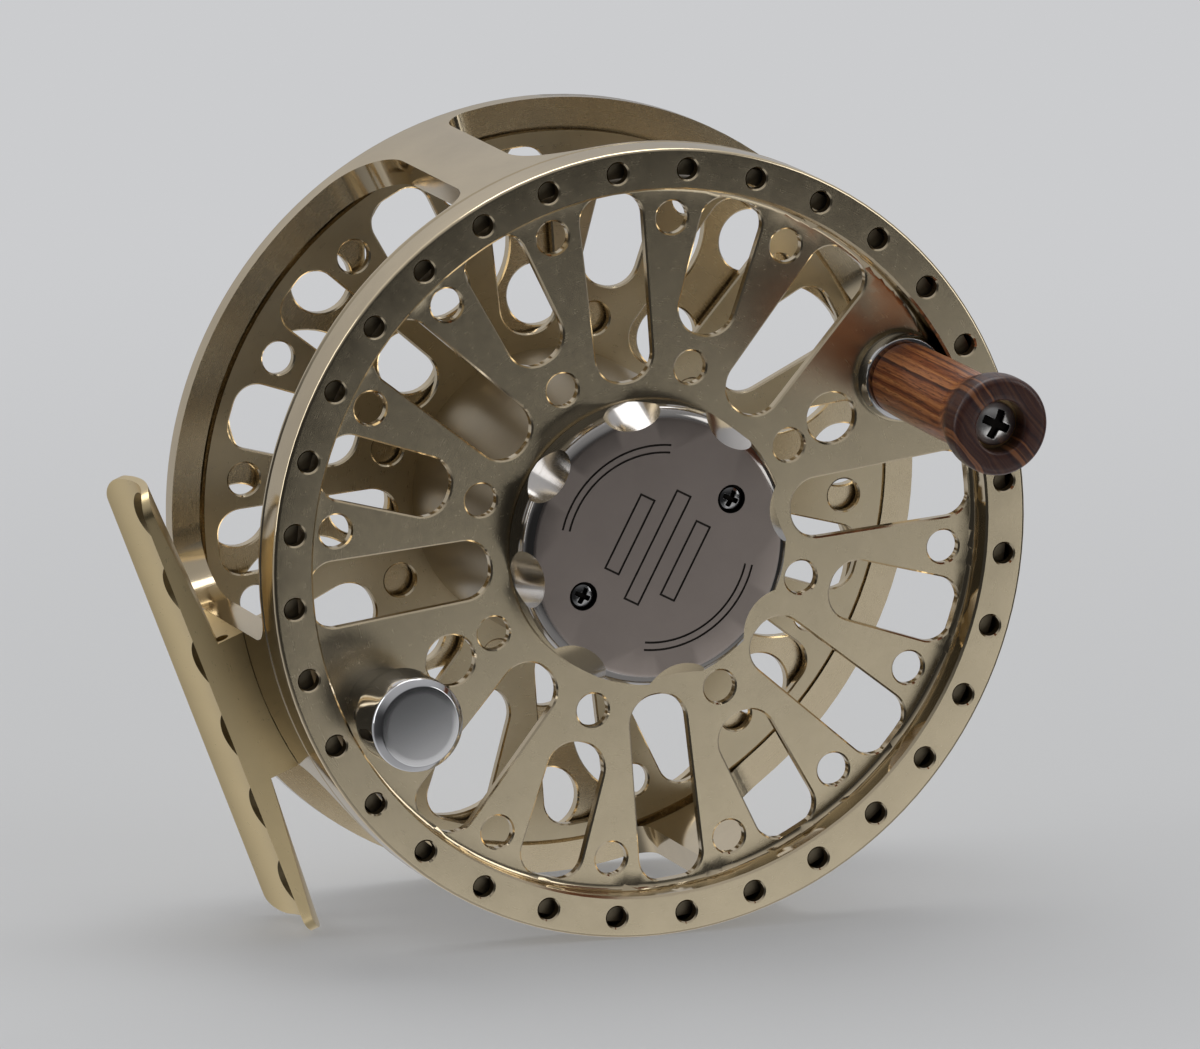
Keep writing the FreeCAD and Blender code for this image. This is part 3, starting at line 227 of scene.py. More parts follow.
@dataclass(frozen=True)
class MetalFinish(Finish):
    """Machined metal: satin faces with lathe rings and blast grain, and polished cut walls.

    The piece's "polish" mark is 0 on a satin face and 1 on a polished wall. Its "shade" mark is painted
    shade: 0 on open metal, rising to 1 in cut lines, recesses and deep rooms, where it darkens the colour.
    """

    face_colour: Colour = (0.8, 0.8, 0.8)
    wall_colour: Colour = (0.8, 0.8, 0.8)
    face_roughness: float = 0.34
    wall_roughness: float = 0.12
    grain_mm: float = 0.0035
    rings_mm: float = 0.0025
    brush_mm: float = 0.0
    tint: float = 0.10
    centre: Tuple[float, float, float] = (0.0, 0.0, 0.0)
    # colour of the painted shade in recesses, cut lines and deep rooms
    shade_colour: Colour = (0.02, 0.018, 0.016)

    def surface(self, shader: Shader) -> Mapping[str, Any]:
        """Return the metal's sockets.

        Args:
            shader: The tree to build in.

        Returns:
            The values of the main shader's sockets.
        """
        place = shader.place_mm(self.centre)
        x, _, z = shader.parts(place)
        radius = shader.math("SQRT", x * x + z * z)
        polish = shader.mark("polish")
        shade = shader.mark("shade")
        cloud = shader.noise(place, 0.11, 3.0, 0.6)
        stain = shader.noise(place, 0.9, 4.0, 0.65)
        grain = shader.noise(place, 11.0, 3.0, 0.7)
        rings = shader.noise_along(radius, 9.0, 3.0)
        across = shader.vector("MULTIPLY", place, (0.5, 14.0, 0.5))
        scuffs = shader.noise(across, 1.0, 3.0, 0.6)
        fleck = shader.step(shader.noise(place, 2.3, 2.0, 0.5), 0.74, 0.80)
        tone = 1.0 + self.tint * (cloud - 0.5) * 2.0 + 0.5 * self.tint * (stain - 0.5)
        colour = shader.mix(polish, self.face_colour, self.wall_colour)
        toned = shader.vector("MULTIPLY", colour, shader.node("ShaderNodeCombineXYZ", {}, {
            0: tone, 1: tone, 2: tone * (1.0 - 0.3 * self.tint * (stain - 0.5))}))
        dulled = shader.mix(0.30 * fleck * (1.0 - polish), toned, shader.vector(
            "MULTIPLY", toned, (0.72, 0.70, 0.66)))
        # painted shade: the shade mark darkens the colour towards shade_colour
        shade_painted = shader.mix(shade, dulled, self.shade_colour)
        satin = self.face_roughness + 0.10 * (stain - 0.5) + 0.07 * (rings - 0.5)
        mirror = self.wall_roughness + 0.10 * shader.step(scuffs, 0.52, 0.72) + 0.05 * (cloud - 0.5)
        rough = shader.blend(polish, satin, mirror)
        satin_height = self.grain_mm * grain + self.rings_mm * rings
        wall_height = 0.0006 * scuffs + 0.0008 * stain
        brushed = self.brush_mm * shader.noise(shader.vector("MULTIPLY", place, (9.0, 0.6, 9.0)), 1.0, 2.0)
        height = shader.blend(polish, satin_height + brushed, wall_height)
        return {"Base Color": shade_painted, "Metallic": 1.0, "Normal": shader.bump(height),
                "Roughness": shader.blend(shade, rough, 0.6)}


@dataclass(frozen=True)
class WoodFinish(Finish):
    """Oiled striped hardwood, with its layers and pores along the grip's axis."""

    centre: Tuple[float, float, float] = (0.0, 0.0, 0.0)
    tip_y_mm: float = -54.6
    flare_mm: float = 8.0

    def surface(self, shader: Shader) -> Mapping[str, Any]:
        """Return the wood's sockets.

        Args:
            shader: The tree to build in.

        Returns:
            The values of the main shader's sockets.
        """
        place = shader.place_mm(self.centre)
        x, y, z = shader.parts(place)
        sway = shader.noise(shader.vector("MULTIPLY", place, (0.13, 0.014, 0.13)), 1.0, 3.0)
        depth = 0.82 * x + 0.57 * z + 2.2 * sway
        layers = shader.noise_along(depth, 1.5, 4.0)
        fibres = shader.noise(shader.vector("MULTIPLY", place, (5.0, 0.22, 5.0)), 1.0, 4.0, 0.65)
        pores = shader.step(shader.noise(shader.vector("MULTIPLY", place, (9.0, 0.55, 9.0)), 1.0, 2.0),
                            0.60, 0.68)
        tone = layers * 0.74 + fibres * 0.26
        wood = shader.node("ShaderNodeValToRGB", {"stops": [
            (0.36, (0.020, 0.005, 0.004)), (0.43, (0.095, 0.022, 0.009)), (0.48, (0.220, 0.060, 0.018)),
            (0.54, (0.36, 0.125, 0.035)), (0.64, (0.50, 0.210, 0.070))]}, {0: tone})
        pored = shader.mix(0.7 * pores, wood, (0.020, 0.007, 0.005))
        tip = shader.step(-1.0 * y, -self.tip_y_mm - self.flare_mm, -self.tip_y_mm - 0.45 * self.flare_mm)
        streak = shader.step(shader.noise_along(depth, 0.75, 2.0), 0.58, 0.64)
        dark = shader.mix(streak, (0.022, 0.006, 0.008), (0.24, 0.090, 0.032))
        colour = shader.mix(0.86 * tip, pored, shader.mix(0.30 * fibres, dark, (0.012, 0.005, 0.006)))
        height = 0.010 * fibres - 0.030 * pores + 0.006 * layers
        return {"Base Color": colour, "Roughness": 0.36 + 0.18 * (fibres - 0.5) + 0.2 * pores,
                "Normal": shader.bump(height), "Coat Weight": 0.16, "Coat Roughness": 0.2}


@dataclass(frozen=True)
class SoftFinish(Finish):
    """Rubber or woven carbon: a dark finish with a fine two-way pattern."""

    colour: Colour = (0.02, 0.02, 0.02)
    second: Colour = (0.05, 0.05, 0.05)
    roughness: float = 0.55
    pitch: float = 1.4

    def surface(self, shader: Shader) -> Mapping[str, Any]:
        """Return the dark finish's sockets.

        Args:
            shader: The tree to build in.

        Returns:
            The values of the main shader's sockets.
        """
        place = shader.place_mm()
        x, _, z = shader.parts(place)
        warp = shader.math("SINE", self.pitch * 2.0 * (x + z))
        weft = shader.math("SINE", self.pitch * 2.0 * (x - z))
        grain = shader.noise(place, 4.0, 3.0)
        over = shader.step(warp * weft + 0.4 * (grain - 0.5), -0.2, 0.2)
        return {"Base Color": shader.mix(over, self.colour, self.second),
                "Roughness": self.roughness + 0.15 * (grain - 0.5),
                "Normal": shader.bump(0.01 * over + 0.01 * grain)}


@dataclass(frozen=True)
class FloorFinish(Finish):
    """Pale matt paper that fades to the backdrop's tone far from the reel."""

    near: Colour = (0.60, 0.605, 0.605)
    far: Colour = (0.598, 0.604, 0.618)
    least_glow: float = 0.28  # share of the far tone beside the reel
    fade_mm: Tuple[float, float] = (60.0, 480.0)  # radii between which the far tone takes over

    def material(self) -> bpy.types.Material:
        """Return the floor's material: a matt sheet near the reel, an even glow far away."""
        made = bpy.data.materials.new(self.name)
        made.use_nodes = True
        shader = Shader(made.node_tree)
        place = shader.place_mm()
        x, y, _ = shader.parts(place)
        radius = shader.math("SQRT", x * x + y * y)
        fibre = shader.noise(place, 1.2, 3.0)
        matt = shader.node("ShaderNodeBsdfPrincipled", {}, {
            "Base Color": shader.mix(0.03 * fibre, self.near, (0.5, 0.5, 0.5)), "Roughness": 0.62,
            "Specular IOR Level": 0.25})
        glow = shader.node("ShaderNodeEmission", {}, {"Color": (*self.far, 1.0)})
        share = self.least_glow + (1.0 - self.least_glow) * shader.step(radius, *self.fade_mm)
        mixed = shader.node("ShaderNodeMixShader", {}, {0: share, 1: matt, 2: glow})
        shader.node("ShaderNodeOutputMaterial", {}, {"Surface": mixed})
        return made


HANDLE_LOW, HANDLE_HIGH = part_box("handle_grip")
HANDLE_CENTRE = ((HANDLE_LOW[0] + HANDLE_HIGH[0]) / 2, 0.0, (HANDLE_LOW[2] + HANDLE_HIGH[2]) / 2)
WEIGHT_LOW, WEIGHT_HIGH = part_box("counterweight")
WEIGHT_CENTRE = ((WEIGHT_LOW[0] + WEIGHT_HIGH[0]) / 2, 0.0, (WEIGHT_LOW[2] + WEIGHT_HIGH[2]) / 2)


class Finishes(Enum):
    """The finishes of the reel's pieces."""

    SPOOL = MetalFinish("champagne_spool", (0.70, 0.60, 0.42), (0.74, 0.62, 0.43), 0.25, 0.10,
                        grain_mm=0.0025, rings_mm=0.002, tint=0.13)
    FRAME = MetalFinish("champagne_frame", (0.70, 0.59, 0.41), (0.74, 0.62, 0.43), 0.26, 0.11,
                        grain_mm=0.0025, tint=0.12)
    FOOT = MetalFinish("gold_foot", (0.76, 0.61, 0.35), (0.84, 0.70, 0.43), 0.30, 0.16, rings_mm=0.0,
                       grain_mm=0.0009, brush_mm=0.0005, tint=0.08)
    CAP = MetalFinish("warm_grey_cap", (0.39, 0.335, 0.305), (0.44, 0.42, 0.40), 0.36, 0.13,
                      rings_mm=0.004)
    KNOB = MetalFinish("champagne_knob", (0.70, 0.60, 0.42), (0.80, 0.70, 0.52), 0.30, 0.14,
                       rings_mm=0.006)
    STEEL = MetalFinish("polished_steel", (0.30, 0.30, 0.305), (0.58, 0.58, 0.59), 0.28, 0.07,
                        grain_mm=0.001, centre=WEIGHT_CENTRE)
    COLLAR = MetalFinish("polished_collar", (0.56, 0.56, 0.57), (0.56, 0.56, 0.57), 0.12, 0.08,
                         grain_mm=0.001, centre=HANDLE_CENTRE)
    SCREW = MetalFinish("dark_screw", (0.30, 0.30, 0.30), (0.34, 0.34, 0.34), 0.22, 0.15, grain_mm=0.002)
    BRIGHT_SCREW = MetalFinish("bright_screw", (0.90, 0.89, 0.86), (0.95, 0.94, 0.91), 0.3, 0.30,
                               centre=HANDLE_CENTRE)
    BEARING = MetalFinish("bearing_steel", (0.52, 0.52, 0.53), (0.56, 0.56, 0.57), 0.2, 0.08)
    BRONZE = MetalFinish("bronze", (0.55, 0.33, 0.15), (0.6, 0.37, 0.18), 0.34, 0.2)
    WOOD = WoodFinish("striped_hardwood", HANDLE_CENTRE, HANDLE_LOW[1] / MM)
    RUBBER = SoftFinish("seal_rubber", (0.016, 0.016, 0.017), (0.022, 0.022, 0.023), 0.6)
    CARBON = SoftFinish("carbon_disc", (0.012, 0.012, 0.013), (0.05, 0.05, 0.055), 0.42)
    FLOOR = FloorFinish("pale_paper")


# ---------------------------------------------------------------- shapes


def new_object(name: str, points: np.ndarray, faces: Sequence[Sequence[int]]) -> bpy.types.Object:
    """Put points and faces in a new object at the origin, merged, smooth and facing outwards.

    Args:
        name: The object's name.
        points: Points in metres, one row each.
        faces: Corner numbers of each face.

    Returns:
        The new object.
    """
    mesh = bpy.data.meshes.new(name)
    mesh.from_pydata(points.tolist(), [], faces)
    made = bpy.data.objects.new(name, mesh)
    bpy.context.scene.collection.objects.link(made)
    tidy_mesh(mesh)
    return made


def tidy_mesh(mesh: bpy.types.Mesh) -> None:
    """Merge doubles, turn the faces outwards, and shade smooth except over sharp corners."""
    work = bmesh.new()
    work.from_mesh(mesh)
    bmesh.ops.remove_doubles(work, verts=work.verts, dist=MERGE)
    bmesh.ops.recalc_face_normals(work, faces=work.faces)
    for edge in work.edges:
        edge.smooth = len(edge.link_faces) == 2 and edge.calc_face_angle(0.0) < CORNER
    work.to_mesh(mesh)
    work.free()
    mesh.polygons.foreach_set("use_smooth", np.ones(len(mesh.polygons), dtype=bool))
    mesh.update()


def set_mark(mesh: bpy.types.Mesh, name: str, values: np.ndarray) -> None:
    """Store one number per face in the mesh's attribute of that name."""
    layer = mesh.attributes.new(name, "FLOAT", "FACE")
    layer.data.foreach_set("value", values.astype(np.float32))


def face_table(mesh: bpy.types.Mesh) -> Tuple[np.ndarray, np.ndarray]:
    """Return the centres and the normals of the faces, one row each."""
    centres = np.empty(len(mesh.polygons) * 3)
    normals = np.empty(len(mesh.polygons) * 3)
    mesh.polygons.foreach_get("center", centres)
    mesh.polygons.foreach_get("normal", normals)
    return centres.reshape(-1, 3), normals.reshape(-1, 3)


def grid_faces(rows: int, columns: int, closed_rows: bool) -> np.ndarray:
    """Return the corner numbers of a grid whose columns go round.

    Args:
        rows: Points along the profile.
        columns: Points round the axis.
        closed_rows: True if the last row joins the first.

    Returns:
        Four corner numbers for each face.
    """
    row = np.arange(rows if closed_rows else rows - 1)[:, None]
    column = np.arange(columns)[None, :]
    next_row, next_column = (row + 1) % rows, (column + 1) % columns
    corners = [row * columns + column, row * columns + next_column,
               next_row * columns + next_column, next_row * columns + column]
    return np.stack(np.broadcast_arrays(*corners), -1).reshape(-1, 4)


def rounded_profile(corners: Sequence[Tuple[float, float, float]], steps: int = 6) -> np.ndarray:
    """Return a closed profile with each corner rounded.

    A corner of round s is replaced by the quadratic curve (1-t)^2 a + 2t(1-t) c + t^2 b, where a
    and b are the points at distance s from the corner c on its two sides.

    Args:
        corners: (radius, y, round) of each corner in millimetres.
        steps: Points on each round.

    Returns:
        (radius, y) of each point in millimetres.
    """
    table = np.array(corners, dtype=float)
    here, before, after = table[:, :2], np.roll(table[:, :2], 1, 0), np.roll(table[:, :2], -1, 0)
    unit_before = (before - here) / np.linalg.norm(before - here, axis=1, keepdims=True)
    unit_after = (after - here) / np.linalg.norm(after - here, axis=1, keepdims=True)
    size = table[:, 2:3]
    start, end = here + unit_before * size, here + unit_after * size
    t = np.linspace(0.0, 1.0, steps)[None, :, None]
    curve = (1 - t) ** 2 * start[:, None] + 2 * t * (1 - t) * here[:, None] + t ** 2 * end[:, None]
    keep = np.ones(curve.shape[:2], dtype=bool)
    keep[table[:, 2] == 0.0, 1:] = False
    return curve[keep]


def divided(profile: np.ndarray, longest: float) -> np.ndarray:
    """Return the profile with points added so that no stretch is longer than that.

    Args:
        profile: (radius, y) of each point in millimetres.
        longest: The longest stretch in millimetres.

    Returns:
        The profile sampled along its length, with its own points kept.
    """
    ends = np.roll(profile, -1, 0)
    counts = np.maximum(1, np.ceil(np.linalg.norm(ends - profile, axis=1) / longest).astype(int))
    start = np.repeat(profile, counts, axis=0)
    run = np.repeat(ends - profile, counts, axis=0)
    first = np.repeat(np.cumsum(counts) - counts, counts)
    part = (np.arange(counts.sum()) - first) / np.repeat(counts, counts)
    return start + run * part[:, None]


def revolved(name: str, profile: np.ndarray, centre: Sequence[float], segments: int = 96,
             ripple: Optional[np.ndarray] = None) -> bpy.types.Object:
    """Revolve a closed profile about an axis parallel to Y.

    The point (radius r, place y) goes to (x0 + r cos a, y, z0 + r sin a) for each angle a.

    Args:
        name: The object's name.
        profile: (radius, y) of each point in millimetres.
        centre: The axis's x and z in metres, at places 0 and 2.
        segments: Steps round the axis.
        ripple: Growth of the radius in millimetres, a row for each profile point.

    Returns:
        The new object.
    """
    angle = np.linspace(0.0, 2 * math.pi, segments, endpoint=False)
    radius = np.repeat(profile[:, :1], segments, axis=1)
    if ripple is not None:
        radius = radius + ripple * (radius > 0)
    x = centre[0] + radius * MM * np.cos(angle)
    z = centre[2] + radius * MM * np.sin(angle)
    y = np.repeat(profile[:, 1:2] * MM, segments, axis=1)
    points = np.stack([x, y, z], -1).reshape(-1, 3)
    return new_object(name, points, grid_faces(len(profile), segments, True).tolist())


def smoothed_copy(node: str) -> bpy.types.Object:
    """Return a merged copy of a frame node, shaded smooth over its curved faces."""
    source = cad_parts[node]
    mesh = source.data.copy()
    mesh.name = node + "_skin"
    made = bpy.data.objects.new(node + "_skin", mesh)
    bpy.context.scene.collection.objects.link(made)
    tidy_mesh(mesh)
    return made


def settle(piece: bpy.types.Object, finish: Finishes, body: str, slot: str, *nodes: str) -> None:
    """Dress a piece, fix it to its body, and let it stand for its frame nodes.

    Args:
        piece: The new piece.
        finish: Its finish.
        body: The body that it rides on.
        slot: The record's material slot; not used.
        nodes: The frame nodes that it stands for.
    """
    piece.data.materials.clear()
    piece.data.materials.append(finish.value.material())
    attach(piece, body)
    if nodes:
        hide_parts(*nodes)
    log.info("%s: %d faces on %s", piece.name, len(piece.data.polygons), body)


# ---------------------------------------------------------------- sub-assemblies


@dataclass(frozen=True)
class PaintedShadeZone:
    """A ring-shaped room about the spool axis whose faces are darkened with painted shade.

    Its start and end lie that far behind a front face, and all its sizes are in millimetres.
    """

    start: float
    end: float
    inner: float
    outer: float
    painted_shade: float

    def shade(self, centres: np.ndarray, front: float) -> np.ndarray:
        """Return the painted shade of each face centre, given in metres, behind a front face at y in mm."""
        radius, place = np.hypot(centres[:, 0], centres[:, 2]) / MM, centres[:, 1] / MM
        deep = (place > front + self.start) & (place < front + self.end)
        return self.painted_shade * (deep & (radius > self.inner) & (radius < self.outer))


@dataclass
class Casting:
    """A machined piece kept in its frame shape, with satin faces and polished walls."""

    node: str
    body: str
    slot: str
    finish: Finishes
    flat_from: float = 0.97  # a face whose normal has this much Y or more is satin
    fade: float = 0.04  # a normal with this much less Y than that is fully polished
    zones: Sequence[PaintedShadeZone] = ()
    zones_behind: str = "spool"  # the node whose front face the zones are measured from
    satin_everywhere: bool = False

    def build(self) -> bpy.types.Object:
        """Return the dressed copy of the frame node."""
        piece = smoothed_copy(self.node)
        centres, normals = face_table(piece.data)
        polish = np.clip((self.flat_from - np.abs(normals[:, 1])) / self.fade, 0.0, 1.0)
        set_mark(piece.data, "polish", polish * (not self.satin_everywhere))
        set_mark(piece.data, "shade", self.shade(centres, normals))
        settle(piece, self.finish, self.body, self.slot, self.node)
        return piece

    def shade(self, centres: np.ndarray, normals: np.ndarray) -> np.ndarray:
        """Return the painted shade of each face.

        Args:
            centres: Face centres in metres.
            normals: Face normals; not used.

        Returns:
            0 for no painted shade to 1 for full painted shade.
        """
        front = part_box(self.zones_behind)[0][1] / MM
        return np.max([np.zeros(len(centres))] + [zone.shade(centres, front) for zone in self.zones], axis=0)


@dataclass
class Foot(Casting):
    """The reel foot, with painted shade on the walls of its lightening holes."""

    turn_deg: float = 201.3  # direction of the foot from the axis
    shift: float = 1.19  # middle of the foot along its length, mm
    pitch: float = 10.9  # of the holes, mm
    hole: float = 3.7  # radius, mm
    band: float = 0.15  # a face this near to a hole's radius, in mm, may be its wall
    lean: float = 0.2  # a wall's normal has less than this along the hole's axis
    # strength of the painted shade on the hole walls
    painted_shade: float = 0.7

    def shade(self, centres: np.ndarray, normals: np.ndarray) -> np.ndarray:
        """Return the painted shade on the walls of the holes, which lie a hole's radius from its axis.

        Args:
            centres: Face centres in metres.
            normals: Face normals.

        Returns:
            0 for no painted shade to 1 for full painted shade.
        """
        turn = math.radians(self.turn_deg)
        outwards = np.array([math.cos(turn), 0.0, math.sin(turn)])
        down = np.array([-math.sin(turn), 0.0, math.cos(turn)])
        along = centres @ down / MM - self.shift
        nearest = (np.round(along / self.pitch - 0.5) + 0.5) * self.pitch
        away = np.hypot(along - nearest, centres[:, 1] / MM)
        wall = (np.abs(away - self.hole) < self.band) & (np.abs(normals @ outwards) < self.lean)
        return self.painted_shade * wall


@dataclass
class CrossScrew:
    """Turned screws with a domed head and a cross recess, all alike and in one piece."""

    node: str
    body: str
    finish: Finishes
    centres: Sequence[Sequence[float]]  # each screw's axis, x and z in metres at places 0 and 2
    front: float  # place of the head's crown, mm
    back: float  # place of the shank's end, mm
    head: float  # radius, mm
    shank: float  # radius, mm
    height: float  # of the head, mm
    dome: float = 0.35  # fall of the head's face from its crown to its edge, mm
    arm: float = 0.17  # half width of the recess's arms, as a share of the head's radius
    reach: float = 0.66  # reach of the arms, as a share of the head's radius
    core: float = 1.6  # radius of the recess's middle, in half widths of an arm
    depth: float = 0.62  # of the recess, mm
    slope: float = 0.09  # half width of the slope at the recess's edge, mm
    turn: float = 0.45  # of the cross about the screw's axis, in radians
    chamfer: float = 0.12  # from the face's edge to the head's side, mm
    steps: int = 44  # rings on the face
    segments: int = 96

    def head_heights(self, radius: np.ndarray, angle: np.ndarray) -> np.ndarray:
        """Return how far the head's face lies behind its crown.

        The face is a shallow dome, dome (r / R)^2, with a cross pressed in. The cross is the
        largest of two bars and a round core. Each bar is a product of smooth steps across its
        width and along its length.

        Args:
            radius: Distance from the screw's axis, mm.
            angle: Angle round the axis.

        Returns:
            The depth of each point, mm.
        """
        x, z = radius * np.cos(angle + self.turn), radius * np.sin(angle + self.turn)
        width, length = self.arm * self.head, self.reach * self.head

        def soft(value: np.ndarray, edge: float) -> np.ndarray:
            """Return 1 inside the edge and 0 outside it, with a short slope."""
            part = np.clip((edge + self.slope - value) / (2 * self.slope), 0.0, 1.0)
            return part * part * (3 - 2 * part)

        bar = soft(np.abs(x), width) * soft(np.abs(z), length)
        other = soft(np.abs(z), width) * soft(np.abs(x), length)
        core = soft(radius, self.core * width)
        pit = np.maximum(np.maximum(bar, other), core) * (1.15 - 0.35 * radius / self.head)
        return self.dome * (radius / self.head) ** 2 + self.depth * pit

    def build(self) -> None:
        """Build and dress the screws."""
        face = np.linspace(0.0, self.head * 0.94, self.steps)
        under = self.front + self.height
        rest = np.array([[self.head, self.front + self.dome + self.chamfer], [self.head, under],
                         [self.shank, under], [self.shank, self.back], [0.0, self.back]])
        angle = np.linspace(0.0, 2 * math.pi, self.segments, endpoint=False)
        rings = np.concatenate([face, rest[:, 0]])
        radius, turn = np.meshgrid(rings, angle, indexing="ij")
        heights = self.head_heights(radius[:self.steps], turn[:self.steps])
        place = np.concatenate([self.front + heights, np.repeat(rest[:, 1:2], len(angle), axis=1)])
        corners = grid_faces(len(rings), len(angle), True)
        points = [np.stack([x0 + radius * MM * np.cos(turn), place * MM, z0 + radius * MM * np.sin(turn)],
                           -1).reshape(-1, 3) for x0, _, z0 in self.centres]
        faces = [corners + i * radius.size for i in range(len(self.centres))]
        piece = new_object(self.node + "_turned", np.concatenate(points), np.concatenate(faces).tolist())
        middles, _ = face_table(piece.data)
        distances = [np.hypot(middles[:, 0] - x0, middles[:, 2] - z0) for x0, _, z0 in self.centres]
        away = np.min(distances, axis=0) / MM
        bowl = self.front + self.dome * (away / self.head) ** 2 + 0.3 * self.depth
        set_mark(piece.data, "polish", np.ones(len(middles)))
        # painted shade in the cross recess of each head
        set_mark(piece.data, "shade", ((middles[:, 1] / MM > bowl) & (away < 0.9 * self.head)) * 1.0)
        settle(piece, self.finish, self.body, "screw_steel", self.node)


@dataclass
class Frame:
    """The frame, with painted shade in the channel inside the spool's rim, with its foot, housing and knob.
    """

    channel: PaintedShadeZone = PaintedShadeZone(start=0.0, end=5.2, inner=47.6, outer=51.56, painted_shade=0.6)

    def build(self) -> None:
        """Build and dress the frame's castings."""
        Casting("frame", "frame", "frame_finish", Finishes.FRAME, zones=[self.channel]).build()
        Foot("reel_foot", "frame", "foot_finish", Finishes.FOOT, satin_everywhere=True).build()
        Casting("foot_screws", "frame", "screw_steel", Finishes.SCREW).build()
        Casting("drag_housing", "frame", "frame_finish", Finishes.FRAME).build()
        Casting("drag_knob", "drag_knob", "knob_finish", Finishes.KNOB).build()


@dataclass
class Spool:
    """The spool, with painted shade in its rim holes, inside its arbor drum and round its line space."""

    rim_holes: PaintedShadeZone = PaintedShadeZone(start=0.3, end=4.9, inner=47.6, outer=51.56, painted_shade=0.5)
    drum: PaintedShadeZone = PaintedShadeZone(start=5.6, end=39.4, inner=0.0, outer=19.2, painted_shade=0.45)
    line_space: PaintedShadeZone = PaintedShadeZone(start=5.4, end=40.6, inner=19.2, outer=48.3, painted_shade=0.12)

    def build(self) -> None:
        """Build and dress the spool."""
        Casting("spool", "spool", "spool_finish", Finishes.SPOOL,
                zones=[self.rim_holes, self.drum, self.line_space]).build()


@dataclass
class Cap:
    """The spool cap, with painted shade in its cut lines and screw recesses, with its two cross-head screws.
    """

    groove_and_recess_shade: PaintedShadeZone = PaintedShadeZone(start=0.01, end=1.35, inner=0.0, outer=15.0, painted_shade=0.9)
    screw_circle: float = 11.85  # radius, mm
    screw_turns: Tuple[float, float] = (28.9, 208.9)  # directions from the axis, degrees

    def build(self) -> None:
        """Build and dress the cap and its screws."""
        Casting("spool_cap", "cap", "cap_finish", Finishes.CAP, zones=[self.groove_and_recess_shade],
                zones_behind="spool_cap").build()
        low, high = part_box("cap_screws")
        reach = self.screw_circle * MM
        turns = [math.radians(turn) for turn in self.screw_turns]
        centres = [(reach * math.cos(turn), 0.0, reach * math.sin(turn)) for turn in turns]
        CrossScrew("cap_screws", "cap", Finishes.SCREW, centres, low[1] / MM, high[1] / MM,
                   head=1.55, shank=1.0, height=1.15).build()


